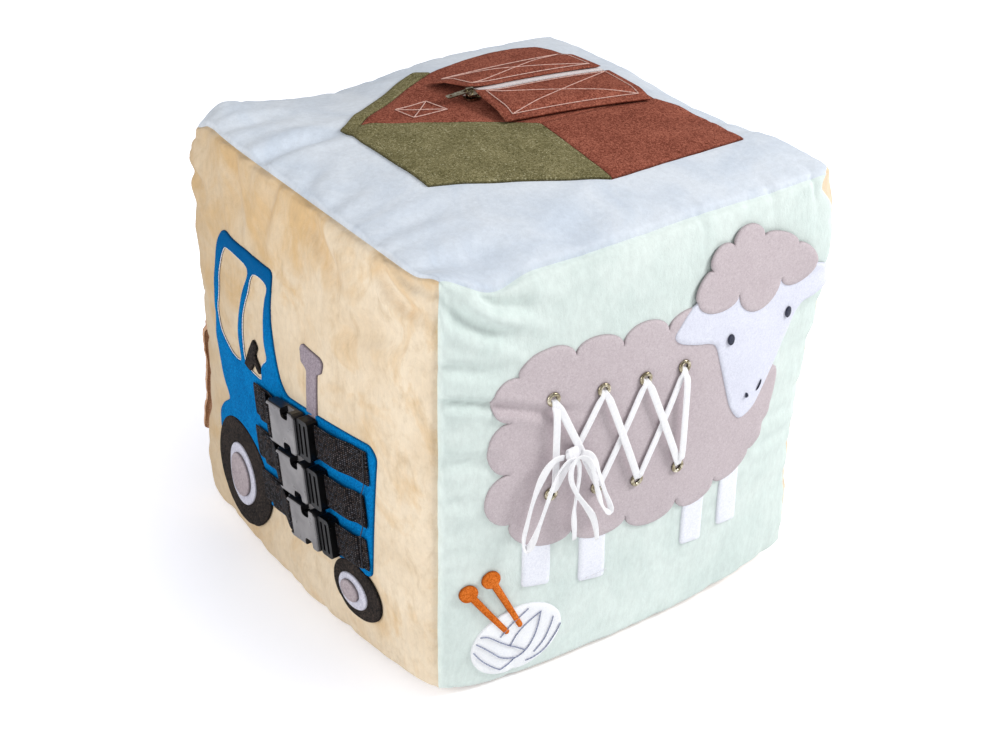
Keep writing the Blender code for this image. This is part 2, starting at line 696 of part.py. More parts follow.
def buckle_plug(number, frame):
    """Plug that runs along its webbing, with a guide tongue and two sprung arms."""
    wide = PLUG_WIDTH / 2
    reach = PLUG_REACH
    arm_out = CAVITY_WIDTH / 2 - PLUG_CLEARANCE
    arm_in = arm_out - ARM_WIDTH
    neck_in = arm_out - ARM_NECK - ARM_WIDTH / 2
    neck_out = neck_in + ARM_NECK
    tongue = TONGUE_WIDTH / 2
    base = PLUG_CLEARANCE
    root = base + RUNG / 2
    half = [
        Vector((-reach * 0.8, tongue * 0.6)), Vector((-reach * 0.7, tongue)), Vector((root, tongue)),
        Vector((root, neck_in)), Vector((-reach * 0.45, neck_in)), Vector((-reach * 0.55, arm_in)),
        Vector((-reach * 0.97, arm_in)), Vector((-reach, arm_in + ARM_WIDTH * 0.3)),
        Vector((-reach * 0.92, arm_out)), Vector((-reach * 0.55, arm_out)),
        Vector((-reach * 0.45, neck_out)), Vector((root * 1.5, neck_out)),
    ]
    nose = half + [Vector((point.x, -point.y)) for point in half[::-1]]
    plug = slab(f"buckle_plug_{number}", nose, ARM_LOW, PLUG_HIGH - ARM_STEP, frame, "black_plastic")
    body = rounded_outline(box_outline(base, PLUG_BASE, -wide, wide), SOCKET_SHOULDER)
    frame_block = make_cutter(slab(f"plug_base_{number}", body, SEAT_GAP, PLUG_HIGH, frame))
    add_boolean(plug, frame_block, "UNION")
    tunnel = WEBBING_WIDTH / 2 + PLUG_CLEARANCE
    through = (-reach, PLUG_BASE + BAR)
    level = (WEBBING_LOW - RUN_GAP, WEBBING_LOW + WEBBING + RUN_GAP)
    cut_box(plug, f"tunnel_{number}", through, (-tunnel, tunnel), level, frame)
    rung_space = (PLUG_BASE - base - 3 * RUNG) / 2
    opening_half = WEBBING_WIDTH / 2 - PLUG_CLEARANCE * 2
    for rung in range(2):
        start = base + RUNG + rung * (RUNG + rung_space)
        span = (start, start + rung_space)
        cut_box(plug, f"rung_{number}_{rung}", span, (-opening_half, opening_half), (-BAR, PLUG_HIGH + BAR), frame)
    return plug


def strap_height(frame, along):
    """Height of the tractor felt's top over the strap's own frame, at a place along it."""
    heights = []
    face = face_matrix("front").inverted()
    for side in (-0.5, 0.0, 0.5):
        spot = face @ (frame @ Vector((along, side * WEBBING_WIDTH, 0)))
        height = local_surface("front", spot.x, spot.y) + FELT_TOP
        heights.append(height - spot.z)
    return max(heights)


def strap(number, left_length, right_length):
    """One strap across the bonnet: sewn webbing, socket, plug and sewn webbing."""
    mouth = strap_mouth(number)
    frame = tangent_frame("front", mouth.x, mouth.y, STRAP_RISE)
    frame = frame @ Matrix.Translation(Vector((0, 0, FELT_TOP)))
    buckle_socket(number, frame)
    plug = buckle_plug(number, frame)
    left = left_length * HALF
    right = right_length * HALF
    lay = SEAT_GAP + WEBBING / 2
    bar_x = -SOCKET_LENGTH + BAR / 2
    loop_bottom = BAR_HEIGHT - LOOP_RADIUS
    path = [Vector((-left, strap_height(frame, -left) + lay))]
    for share in (0.75, 0.5, 0.25):
        along = bar_x - BAR * 2 - (left + bar_x - BAR * 2) * share
        path.append(Vector((along, strap_height(frame, along) + lay)))
    path.append(Vector((bar_x - BAR, loop_bottom)))
    turns = 10
    for step in range(turns + 1):
        angle = -math.pi / 2 + math.pi * step / turns
        path.append(Vector((bar_x + LOOP_RADIUS * math.cos(angle), BAR_HEIGHT + LOOP_RADIUS * math.sin(angle))))
    path.append(Vector((bar_x - BAR, BAR_HEIGHT + LOOP_RADIUS * 0.93)))
    over = WEBBING + SEAT_GAP * 2
    for share in (0.30, 0.50, 0.66):
        along = bar_x - BAR * 2 - (left + bar_x - BAR * 2) * share
        path.append(Vector((along, strap_height(frame, along) + lay + over)))
    ribbon(f"strap_left_{number}", path, WEBBING, WEBBING_WIDTH, frame, "black_webbing")
    straight = PLUG_BASE + PLUG_TRAVEL + RUN_GAP
    path = [Vector((PLUG_CLEARANCE * 2 + BAR, WEBBING_MIDDLE)), Vector((straight, WEBBING_MIDDLE))]
    for share in (0.45, 0.7, 1.0):
        along = straight + (right - straight) * share
        path.append(Vector((along, strap_height(frame, along) + lay)))
    ribbon(f"strap_right_{number}", path, WEBBING, WEBBING_WIDTH, frame, "black_webbing")
    pivot(f"plug_{number}_slide", frame.translation, frame.to_3x3() @ Vector((1, 0, 0)), [plug])


# Right face: the sheep, its lace and the ball of wool


def needle_outline(head, tip):
    """Knitting needle: a round head and a tapered stick."""
    start = Vector(head) * HALF
    end = Vector(tip) * HALF
    along = (end - start).normalized()
    side = Vector((-along.y, along.x))
    outline = []
    opening = math.asin(NEEDLE_WIDTH / 2 / NEEDLE_HEAD)
    for step in range(13):
        angle = opening + (2 * math.pi - 2 * opening) * step / 12
        outline.append(start + along * NEEDLE_HEAD * math.cos(angle) + side * NEEDLE_HEAD * math.sin(angle))
    tip_half = NEEDLE_WIDTH / 2 * NEEDLE_TIP_SHARE
    outline.append(end - side * tip_half)
    outline.append(end + side * tip_half)
    return outline


def sheep():
    body = scalloped_outline(places(SHEEP_NOTCH_SHARES), SHEEP_BULGE_SHARES)
    forelock = scalloped_outline(places(FORELOCK_NOTCH_SHARES), FORELOCK_BULGE_SHARES)
    face = smooth_outline(places(FACE_SHARES), 3)
    legs = [rounded_outline(places(shares), 0.012 * HALF, 1) for shares in LEG_SHARES]
    pieces = [felt_shape("sheep_body", "right", [body], "sheep_felt", minus=[face, forelock])]
    felt_shape("sheep_face", "right", [face], "white_felt", minus=[forelock])
    felt_shape("sheep_forelock", "right", [forelock], "sheep_felt")
    for number, leg in enumerate(legs, 1):
        felt_shape(f"sheep_leg_{number}", "right", [leg], "white_felt", minus=[body])
    needles = [needle_outline(head, tip) for head, tip in NEEDLE_SHARES]
    felt_shape("wool_ball", "right", [ellipse_outline(BALL_SHARES)], "white_felt", minus=needles)
    felt_shape("knitting_needle_1", "right", [needles[0]], "orange_felt", minus=[needles[1]])
    felt_shape("knitting_needle_2", "right", [needles[1]], "orange_felt")
    return pieces[0]


def eyelet(number, spot, body, panel):
    """Metal eyelet set through the sheep's felt and the panel, with its hole."""
    u, v = spot[0] * HALF, spot[1] * HALF
    frame = tangent_frame("right", u, v, 0.0)
    hole = bmesh.new()
    hole_radius = EYELET_RADIUS + EYELET_GAP
    bmesh.ops.create_cone(hole, cap_ends=True, segments=16, radius1=hole_radius, radius2=hole_radius,
                          depth=FABRIC * 6)
    cutter = make_cutter(add_object(f"eyelet_hole_{number}", hole, "foam", frame))
    add_boolean(body, cutter)
    add_boolean(panel, cutter)
    top = FELT_TOP + EYELET_GAP
    bottom = EYELET_GAP * 2 - FABRIC
    inner = EYELET_RADIUS - EYELET_WALL
    flange = EYELET_FLANGE
    ring = [
        (inner, bottom), (EYELET_RADIUS, bottom), (EYELET_RADIUS, top), (EYELET_FLANGE_RADIUS, top),
        (EYELET_FLANGE_RADIUS - flange / 3, top + flange * 0.8), (EYELET_RADIUS, top + flange),
        (inner, top + flange / 2),
    ]
    bm = bmesh.new()
    verts = [bm.verts.new((radius, 0, height)) for radius, height in ring]
    edges = [bm.edges.new((verts[i], verts[(i + 1) % len(verts)])) for i in range(len(verts))]
    bmesh.ops.spin(bm, geom=verts + edges, cent=(0, 0, 0), axis=(0, 0, 1), angle=2 * math.pi, steps=14,
                   use_merge=False, use_duplicate=False)
    bmesh.ops.remove_doubles(bm, verts=bm.verts[:], dist=SEAM_GAP / 30)
    piece = add_object(f"eyelet_{number}", bm, "antique_metal", frame)
    piece.data.shade_smooth()


def lace_piece(name, points, widths, closed=False):
    """Flat lace along points given across, up and out from the right face."""
    section = bpy.data.curves.new(f"{name}_section", "CURVE")
    section.dimensions = "2D"
    spline = section.splines.new("POLY")
    spline.points.add(3)
    half = (LACE_WIDTH / 2, LACE / 2)
    for point, (x, y) in zip(spline.points, ((-1, -1), (1, -1), (1, 1), (-1, 1))):
        point.co = (x * half[0], y * half[1], 0, 1)
    spline.use_cyclic_u = True
    profile = bpy.data.objects.new(f"{name}_section", section)
    bpy.context.scene.collection.objects.link(profile)
    curve = bpy.data.curves.new(name, "CURVE")
    curve.dimensions = "3D"
    curve.twist_mode = "Z_UP"
    curve.bevel_mode = "OBJECT"
    curve.bevel_object = profile
    curve.use_fill_caps = True
    line = curve.splines.new("POLY")
    line.points.add(len(points) - 1)
    for point, place, width in zip(line.points, points, widths):
        point.co = (*place, 1)
        point.radius = width
    line.use_cyclic_u = closed
    guide = bpy.data.objects.new(name, curve)
    bpy.context.scene.collection.objects.link(guide)
    bpy.context.view_layer.update()
    evaluated = guide.evaluated_get(bpy.context.evaluated_depsgraph_get())
    mesh = bpy.data.meshes.new_from_object(evaluated)
    bpy.data.objects.remove(guide, do_unlink=True)
    bpy.data.objects.remove(profile, do_unlink=True)
    bm = bmesh.new()
    bm.from_mesh(mesh)
    bpy.data.meshes.remove(mesh)
    bmesh.ops.remove_doubles(bm, verts=bm.verts[:], dist=SEAM_GAP / 30)
    return add_object(name, bm, "cotton_lace", face_matrix("right"))


def on_sheep(u, v, height):
    """Point at a height over the top of the sheep's felt, in the right face's frame."""
    return Vector((u, v, local_surface("right", u, v) + FELT_TOP + height))


LACE_LEVEL = 0.0008
LACE_STEP = LACE + 0.0005
LACE_NARROW_SHARE = 0.45
STRAND_STEP = 0.0085
# Way of the lace out of an eyelet, as shares of the flange's radius: (out from the middle, height)
LOW_WAY_SHARES = [(0.0, -0.10), (0.275, 0.125), (0.475, 0.375), (1.10, 0.39)]
HIGH_WAY_SHARES = [(0.0, -0.10), (-0.125, 0.175), (-0.05, 0.475), (0.30, 0.64), (1.00, 0.675)]
SETTLED_SHARE = 2.0


def way_out(kind, level):
    """Distances and heights of a strand as it leaves an eyelet."""
    shares = LOW_WAY_SHARES if kind == "low" else HIGH_WAY_SHARES
    way = [(out * EYELET_FLANGE_RADIUS, height * EYELET_FLANGE_RADIUS) for out, height in shares]
    way.append((SETTLED_SHARE * EYELET_FLANGE_RADIUS, level))
    return way


def lace_strand(start, end, level, start_kind, end_kind):
    """Points and width shares of one lace strand from eyelet to eyelet."""
    length = (end - start).length
    head = way_out(start_kind, level)
    tail = [(length - out, height) for out, height in way_out(end_kind, level)][::-1]
    inner = max(1, round((tail[0][0] - head[-1][0]) / STRAND_STEP))
    gap = (tail[0][0] - head[-1][0]) / inner
    middle = [(head[-1][0] + gap * step, level) for step in range(1, inner)]
    points = []
    widths = []
    for along, height in head + middle + tail:
        place = start + (end - start) * (along / length)
        near = min(along, length - along) / EYELET_FLANGE_RADIUS
        share = min(1.0, max(0.0, near - LOW_WAY_SHARES[-1][0]) / (SETTLED_SHARE - LOW_WAY_SHARES[-1][0]))
        points.append(on_sheep(place.x, place.y, height))
        widths.append(LACE_NARROW_SHARE + (1 - LACE_NARROW_SHARE) * share)
    return points, widths


def sheep_lace():
    """Lace that runs through all eight eyelets and back to where it began."""
    top = places(TOP_EYELET_SHARES)
    low = places(LOW_EYELET_SHARES)
    first = LACE_LEVEL
    second = first + LACE_STEP
    third = second + LACE_STEP
    route = [
        (low[0], top[1], first, "low", "low"), (top[1], low[2], first, "low", "low"),
        (low[2], top[3], first, "low", "low"), (top[3], low[3], third, "high", "high"),
        (low[3], top[2], second, "low", "low"), (top[2], low[1], second, "low", "low"),
        (low[1], top[0], second, "low", "low"), (top[0], low[0], third, "high", "high"),
    ]
    points = []
    widths = []
    for strand in route:
        part, shares = lace_strand(*strand)
        points += part[:-1]
        widths += shares[:-1]
    lace_piece("sheep_lace", points, widths, closed=True)


# Free ends of the lace, from the knot: bow loop, back past the knot, then the tail
LEFT_END = [
    (-0.0051, 0.0000, 0.0049), (-0.0105, 0.0005, 0.0056), (-0.0155, -0.0025, 0.0062),
    (-0.0200, -0.0100, 0.0062), (-0.0235, -0.0210, 0.0058), (-0.0260, -0.0330, 0.0054),
    (-0.0275, -0.0440, 0.0050), (-0.0265, -0.0505, 0.0054), (-0.0235, -0.0470, 0.0063),
    (-0.0200, -0.0360, 0.0070), (-0.0160, -0.0230, 0.0074), (-0.0120, -0.0100, 0.0078),
    (-0.0080, -0.0032, 0.0080), (-0.0030, -0.0005, 0.0080), (0.0015, -0.0035, 0.0078),
    (0.0030, -0.0120, 0.0070), (0.0025, -0.0240, 0.0062), (0.0020, -0.0360, 0.0054),
    (0.0035, -0.0470, 0.0046), (0.0045, -0.0550, 0.0040),
]
RIGHT_END = [
    (0.0051, 0.0000, 0.0049), (0.0100, -0.0025, 0.0054), (0.0140, -0.0090, 0.0056),
    (0.0175, -0.0190, 0.0054), (0.0215, -0.0300, 0.0050), (0.0250, -0.0385, 0.0050),
    (0.0255, -0.0430, 0.0056), (0.0215, -0.0410, 0.0064), (0.0170, -0.0320, 0.0072),
    (0.0130, -0.0200, 0.0079), (0.0095, -0.0080, 0.0088), (0.0050, -0.0012, 0.0094),
    (0.0000, 0.0005, 0.0096), (-0.0035, -0.0045, 0.0094), (-0.0030, -0.0130, 0.0088),
    (0.0015, -0.0230, 0.0080), (0.0080, -0.0330, 0.0070), (0.0135, -0.0420, 0.0060),
    (0.0170, -0.0510, 0.0050), (0.0190, -0.0600, 0.0044),
]
END_STEPS = 2


def smooth_route(points, steps):
    """Open smooth curve through the points."""
    result = []
    last = len(points) - 1
    for i in range(last):
        before = points[max(0, i - 1)]
        start = points[i]
        end = points[i + 1]
        after = points[min(last, i + 2)]
        for step in range(steps):
            t = step / steps
            result.append(0.5 * (2 * start + (end - before) * t
                                 + (2 * before - 5 * start + 4 * end - after) * t ** 2
                                 + (3 * start - before - 3 * end + after) * t ** 3))
    result.append(points[last])
    return result


def lace_end(name, route):
    knot = Vector((*KNOT_SHARES, 0)) * HALF
    flat = smooth_route([knot + Vector(point) for point in route], END_STEPS)
    points = [on_sheep(*point) for point in flat]
    lace_piece(name, points, [1.0] * len(points))


def lace_knot():
    """Small pulled knot in the middle of the bow."""
    place = Vector(KNOT_SHARES) * HALF
    height = LACE_LEVEL + LACE_STEP + LACE / 2 + EYELET_GAP + KNOT_SIZE * KNOT_SHAPE_SHARES[2]
    spot = on_sheep(place.x, place.y, height)
    bm = bmesh.new()
    bmesh.ops.create_uvsphere(bm, u_segments=12, v_segments=8, radius=1.0)
    size = Matrix.Diagonal((*(KNOT_SIZE * share for share in KNOT_SHAPE_SHARES), 1))
    bmesh.ops.transform(bm, matrix=size, verts=bm.verts[:])
    piece = add_object("lace_knot", bm, "cotton_lace", face_matrix("right") @ Matrix.Translation(spot))
    piece.data.shade_smooth()


# Top face: the barn with its zipped doors


def barn():
    inset = -ABUT_GAP / 2
    felt_shape("barn_roof", "top", [grown(places(ROOF_SHARES), inset)], "roof_felt")
    felt_shape("barn_front_wall", "top", [grown(places(FRONT_WALL_SHARES), inset)], "barn_felt")
    felt_shape("barn_side_wall", "top", [grown(places(SIDE_WALL_SHARES), inset)], "barn_felt")


def zip_arc():
    """Centre, radius and angles of the arc that the zip follows over the crowned top.

    The arc lies in the upright plane through the zip's two ends. It passes over the felt wall
    with room for the slider's lower plate everywhere.
    """
    start, end = (Vector(share) * HALF for share in ZIP_SHARES)
    length = (end - start).length
    samples = []
    for step in range(25):
        spot = start + (end - start) * (step / 24)
        samples.append((length * step / 24, local_surface("top", spot.x, spot.y) + FELT_TOP))
    low, middle, high = samples[0], samples[12], samples[-1]
    chord_rise = middle[1] - (low[1] + high[1]) / 2
    span = math.hypot(high[0] - low[0], high[1] - low[1])
    radius = (span ** 2 / 4 + chord_rise ** 2) / (2 * chord_rise)
    along = Vector((high[0] - low[0], high[1] - low[1])) / span
    out = Vector((-along.y, along.x))
    centre = Vector(((low[0] + high[0]) / 2, (low[1] + high[1]) / 2)) + out * (chord_rise - radius)
    clear = SLIDER_GAP * 2 + SLIDER_PLATE + COIL_HEIGHT / 2
    reach = max(math.hypot(x - centre.x, z - centre.y) for x, z in samples) + clear
    first = math.atan2(low[1] - centre.y, low[0] - centre.x)
    final = math.atan2(high[1] - centre.y, high[0] - centre.x)
    direction = (end - start).normalized()
    return start, direction, centre, reach, first, final


def zip_frame():
    """Frame of the zip's arc: X along the zip, Z up, Y to the left, origin at its near end."""
    start, direction, *_ = zip_arc()
    side = Vector((-direction.y, direction.x))
    turn = Matrix(((direction.x, side.x, 0), (direction.y, side.y, 0), (0, 0, 1))).to_4x4()
    return face_matrix("top") @ Matrix.Translation(Vector((start.x, start.y, 0))) @ turn


def zip_side(name, side, from_share):
    """Tape with its coil, swept along the zip's arc."""
    _, _, centre, radius, first, final = zip_arc()
    inner = COIL_HALF_GAP
    coil_out = inner + COIL_WIDTH
    tape = ZIP_TAPE / 2
    coil = COIL_HEIGHT / 2
    section = [
        (inner, -coil), (coil_out, -coil), (coil_out, -tape), (TAPE_WIDTH, -tape),
        (TAPE_WIDTH, tape), (coil_out, tape), (coil_out, coil), (inner, coil),
    ]
    bm = bmesh.new()
    rings = []
    steps = 12
    for step in range(steps + 1):
        share = from_share + (1 - from_share) * step / steps
        angle = first + (final - first) * share
        ring = []
        for across, height in section:
            reach = radius + height
            ring.append(bm.verts.new((centre.x + reach * math.cos(angle), side * across,
                                      centre.y + reach * math.sin(angle))))
        rings.append(ring)
    count = len(section)
    for near, far in zip(rings, rings[1:]):
        for i in range(count):
            bm.faces.new((near[i], near[(i + 1) % count], far[(i + 1) % count], far[i]))
    bm.faces.new(rings[0])
    bm.faces.new(rings[-1])
    return add_object(name, bm, "zip_tape", zip_frame())


def zip_slider():
    """Slider round both coils at the zip's near end, with its arch, and the pull tab."""
    _, _, centre, radius, first, _ = zip_arc()
    rest = first - SLIDER_LENGTH / 2 / radius
    here = Vector((centre.x + radius * math.cos(rest), 0, centre.y + radius * math.sin(rest)))
    tilt = Matrix.Rotation(math.pi / 2 - rest, 4, "Y")
    frame = zip_frame() @ Matrix.Translation(here) @ tilt
    wide = SLIDER_WIDTH / 2
    length = SLIDER_LENGTH / 2
    plate_low = COIL_HEIGHT / 2 + SLIDER_GAP
    plate_high = plate_low + SLIDER_PLATE
    outline = [
        Vector((-length, -wide)), Vector((length * 0.4, -wide)), Vector((length, -wide * 0.72)),
        Vector((length, wide * 0.72)), Vector((length * 0.4, wide)), Vector((-length, wide)),
    ]
    body = slab("zip_slider", rounded_outline(outline, SLIDER_PLATE * 2, 2), -plate_high, plate_high, frame,
                "antique_metal")
    channel = COIL_HALF_GAP + COIL_WIDTH + SLIDER_GAP
    bridge = COIL_HALF_GAP - SLIDER_GAP
    slot = ZIP_TAPE / 2 + SLIDER_GAP
    reach = (-length - BAR, length + BAR)
    for side in (-1, 1):
        tag = "low" if side < 0 else "high"
        room = sorted((side * bridge, side * channel))
        cut_box(body, f"coil_channel_{tag}", reach, room, (-plate_low, plate_low), frame)
        room = sorted((side * (channel - bridge), side * (wide + BAR)))
        cut_box(body, f"tape_channel_{tag}", reach, room, (-slot, slot), frame)
    eye_high = PULL_AXLE_LIFT + PULL_BAR + SLIDER_GAP
    arch_inner = PULL_BAR + SLIDER_GAP * 2 + ARCH_BAR / 2
    arch_outer = arch_inner + ARCH_BAR
    axle_x = -length + arch_outer
    arch_span = (axle_x - arch_outer, axle_x + arch_outer)
    arch = make_cutter(slab("slider_arch", box_outline(*arch_span, -ARCH_WIDTH / 2, ARCH_WIDTH / 2),
                            plate_high - SLIDER_PLATE / 2, plate_high + eye_high + ARCH_BAR, frame))
    add_boolean(body, arch, "UNION")
    eye_span = (axle_x - arch_inner, axle_x + arch_inner)
    cut_box(body, "arch_eye", eye_span, (-ARCH_WIDTH, ARCH_WIDTH), (plate_high, plate_high + eye_high), frame)
    axle = frame @ Vector((axle_x, 0, plate_high + PULL_AXLE_LIFT))
    pull_turn = Matrix.Translation(axle) @ frame.to_3x3().to_4x4() @ Matrix.Rotation(-PULL_DROP, 4, "Y")
    pull_turn = pull_turn @ Matrix.Rotation(math.pi, 4, "Z")
    pull = zip_pull(pull_turn)
    across = zip_frame().to_3x3() @ Vector((0, 1, 0))
    arc_centre = zip_frame() @ Vector((centre.x, 0, centre.y))
    travel = pivot("zip_travel", arc_centre, across, [body])
    swing = pivot("pull_swing", axle, across, [pull])
    return travel, swing


def zip_pull(frame):
    """Flat pull: an eye round the slider's arch with a cross bar as its pivot, and a tab."""
    arm_in = ARCH_WIDTH / 2 + SLIDER_GAP
    arm_out = arm_in + PULL_ARM
    bar = PULL_BAR
    tab_start = PULL_EYE
    tab_end = PULL_EYE + PULL_TAB
    outer = rounded_outline(box_outline(-bar, tab_end, -arm_out, arm_out), PULL_ARM, 2)
    eye = box_outline(bar, tab_start, -arm_in, arm_in)
    hole_middle = tab_end - PULL_ARM * 3
    hole = [Vector((hole_middle + PULL_ARM * math.cos(2 * math.pi * k / 8),
                    PULL_ARM * math.sin(2 * math.pi * k / 8))) for k in range(8)]
    half = PULL_THICKNESS / 2
    return prism("zip_pull", [outer, eye, hole], -half, half, frame, "antique_metal")


def door(name, hinge_shares, side, tape):
    """Felt door, sewn to the wall at its hinge and raised over the zip at its inner edge."""
    start, direction, *_ = zip_arc()
    far = Vector(ZIP_SHARES[1]) * HALF
    across = Vector((-direction.y, direction.x)) * side
    near_hinge, far_hinge = (Vector(share) * HALF for share in hinge_shares)
    near_edge = start + across * DOOR_TO_ZIP + direction * SLIDER_LENGTH * 0.3
    far_edge = far + across * DOOR_TO_ZIP
    zip_top = zip_height()
    steps_in, steps_along = 8, 8
    bm = bmesh.new()
    bmesh.ops.create_grid(bm, x_segments=steps_in, y_segments=steps_along, size=1.0)
    for vert in bm.verts:
        inward = (vert.co.x + 1) / 2
        along = (vert.co.y + 1) / 2
        hinge = near_hinge.lerp(far_hinge, along)
        edge = near_edge.lerp(far_edge, along)
        spot = hinge.lerp(edge, inward)
        rise = min(1.0, inward * (edge - hinge).length / DOOR_SEAM)
        rise = rise * rise * (3 - 2 * rise)
        curl = DOOR_CURL * inward ** 2 * max(0.0, 1 - along * 4) ** 2
        ground = local_surface("top", spot.x, spot.y) + FELT_TOP + SEAT_GAP * 2
        height = ground + (zip_top + SEAT_GAP - SEAT_GAP * 2) * rise + curl
        vert.co = Vector((spot.x, spot.y, height))
    thicken(bm, lambda point: point + Vector((0, 0, DOOR_FELT)))
    crest = max(local_surface("top", *near_hinge.lerp(far_hinge, k / steps_along)) for k in range(steps_along + 1))
    matrix = face_matrix("top")
    place = matrix @ Vector((near_hinge.x, near_hinge.y, crest + FELT_TOP + SEAT_GAP * 2))
    axis = (matrix.to_3x3() @ Vector((*(far_hinge - near_hinge), 0))) * -side
    piece = add_object(name, bm, "barn_felt", matrix)
    return pivot(f"{name}_hinge", place, axis, [piece, tape])


def zip_height():
    """Height of the zip tape's top over the felt wall, where the doors lie on it."""
    return SLIDER_GAP * 2 + SLIDER_PLATE + COIL_HEIGHT / 2 + ZIP_TAPE / 2 + DOOR_RISE - SLIDER_PLATE * 3


def build():
    clear_scene()
    panels = {}
    foam_core()
    finishes = {"front": "cream_plush", "right": "mint_plush", "top": "sky_plush", "back": "cream_plush",
                "left": "cream_plush", "bottom": "cream_plush"}
    for face in FACES:
        panels[face] = fabric_panel(face, finishes[face])
    tractor()
    for number, lengths in enumerate(zip(STRAP_LEFT_SHARES, STRAP_RIGHT_SHARES), 1):
        strap(number, *lengths)
    body = sheep()
    for number, spot in enumerate(TOP_EYELET_SHARES + LOW_EYELET_SHARES, 1):
        eyelet(number, spot, body, panels["right"])
    sheep_lace()
    lace_end("lace_end_left", LEFT_END)
    lace_end("lace_end_right", RIGHT_END)
    lace_knot()
    barn()
    left_tape = zip_side("zip_tape_left", 1, 0.0)
    slider_share = SLIDER_LENGTH / (EDGE * (ZIP_SHARES[1][1] - ZIP_SHARES[0][1]) / 2)
    right_tape = zip_side("zip_tape_right", -1, slider_share + ZIP_STOP_SHARE)
    travel, swing = zip_slider()
    left_hinge = door("door_left", DOOR_LEFT_HINGE_SHARES, 1, left_tape)
    door("door_right", DOOR_RIGHT_HINGE_SHARES, -1, right_tape)
    for inner, outer in ((travel, left_hinge), (swing, travel)):
        inner.parent = outer
        inner.matrix_parent_inverse = outer.matrix_world.inverted()
    trim = scalloped_outline(places(TRIM_NOTCH_SHARES), [TRIM_BULGE_SHARE] * len(TRIM_NOTCH_SHARES))
    felt_shape("side_felt_trim", "left", [trim], "tan_felt")


clear_scene()
block = new_collection("soft_fabric_block")
cutters = new_collection("cutters")
build()
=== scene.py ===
import math
import random
from bisect import bisect_left

import bmesh
import bpy
import numpy as np
from mathutils import Matrix, Vector, noise
from mathutils.geometry import delaunay_2d_cdt


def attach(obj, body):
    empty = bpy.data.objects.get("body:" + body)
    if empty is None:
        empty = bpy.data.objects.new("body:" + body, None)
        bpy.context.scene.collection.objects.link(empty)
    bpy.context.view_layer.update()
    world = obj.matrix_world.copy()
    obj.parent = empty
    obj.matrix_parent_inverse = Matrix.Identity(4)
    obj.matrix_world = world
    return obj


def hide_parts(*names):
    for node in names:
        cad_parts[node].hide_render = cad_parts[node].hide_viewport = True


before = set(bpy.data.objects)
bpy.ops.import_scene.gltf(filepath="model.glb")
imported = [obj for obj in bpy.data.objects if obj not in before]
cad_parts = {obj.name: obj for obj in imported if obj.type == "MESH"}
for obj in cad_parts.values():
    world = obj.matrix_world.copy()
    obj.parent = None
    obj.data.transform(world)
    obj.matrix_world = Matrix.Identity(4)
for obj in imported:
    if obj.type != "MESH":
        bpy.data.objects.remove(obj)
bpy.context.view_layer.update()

# The cube, in metres
EDGE = 0.250
HALF = EDGE / 2
CORNER_LIFT = 0.010
TOP_EDGE_BOW = 0.0011
BOTTOM_EDGE_BOW = 0.0070
CROWN_POWER = 0.6
EDGE_POWER = 4
BOTTOM_SAG_SHARE = 0.8
BOTTOM_PRESS_SHARE = 2.0
# Each face's directions across and up, and how far its middle stands out
FACES = {
    "front": ((1, 0, 0), (0, 0, 1), 0.0125),
    "right": ((0, 1, 0), (0, 0, 1), 0.0150),
    "back": ((-1, 0, 0), (0, 0, 1), 0.0175),
    "left": ((0, -1, 0), (0, 0, 1), 0.0125),
    "top": ((1, 0, 0), (0, 1, 0), 0.0125),
    "bottom": ((1, 0, 0), (0, -1, 0), 0.0),
}
CENTRE = np.array((0, 0, HALF))

# Pile cover
PANEL_CELLS = 132
SEAM_DEPTH = 0.0024
SEAM_WIDTH = 0.0019
SEAM_POWER = 1.5
CORNER_ROUND = 0.0022
CORNER_POWER = 9
LEAN_POWER = 6
TUCK = 0.0015
TUCK_REACH = 0.020
TUCK_RATE = 34
TUCK_SHARPNESS = 4.5
TUCK_POWER = 1.4
TUCK_FADE_POWER = 1.6
PUCKER = 0.0009
PUCKER_REACH = 0.011
PUCKER_RATE = 110
LUMPS = 0.0010
LUMP_SIZE = 0.034
SMALL_LUMP_SHARE = 0.35
SMALL_LUMP_RATE = 2.7
SEAM_CROWD_SHARE = 0.66
FOLD_RIM = 0.003
FOLD_FADE_RATE = 2.5
FOLD_RIDGE_SHARE = 0.45
FOLD_SOFT_SHARE = 0.4
FIRM_FADE_SHARE = 0.12
FAR_SIDE_SHARE = 0.4
FAR_CALM_SHARE = 0.75
FLOOR_FADE_SHARE = 0.3

# Felt
FELT = 0.0015
FELT_GAP = 0.00035
FELT_TOP = FELT_GAP + FELT
FELT_CELL = 0.0024
FELT_EDGE = 0.0005
FELT_DRAWN = 0.0010
FELT_RIM_SHARE = 0.45
FELT_JITTER = 0.00004
# Strength of the painted shadow at the felt's outline, which fades inwards over its rounded edge
FELT_EDGE_SHADOW_SHARE = 0.6
# Steps of a felt's outline as a share of its cell, then the least gaps between its points as shares
# of that step, the cell and the rim
OUTLINE_STEP_SHARE = 0.55
OUTLINE_LEAST_SHARE = 0.12
FILL_LEAST_SHARE = 0.45
RIM_LEAST_SHARE = 0.93

# Camera, fitted to the photograph: angles in radians, lengths in units of the cube's edge, and the
# lens and its sensor in millimetres
CAMERA_AZIMUTH = 0.9532
CAMERA_ELEVATION = 0.5309
CAMERA_DISTANCE = 4.5922
CAMERA_SIDE = 0.0045
CAMERA_UP = -0.0742
CAMERA_ROLL = 0.0192
CAMERA_LENS = 71.17
CAMERA_SENSOR = 36.0


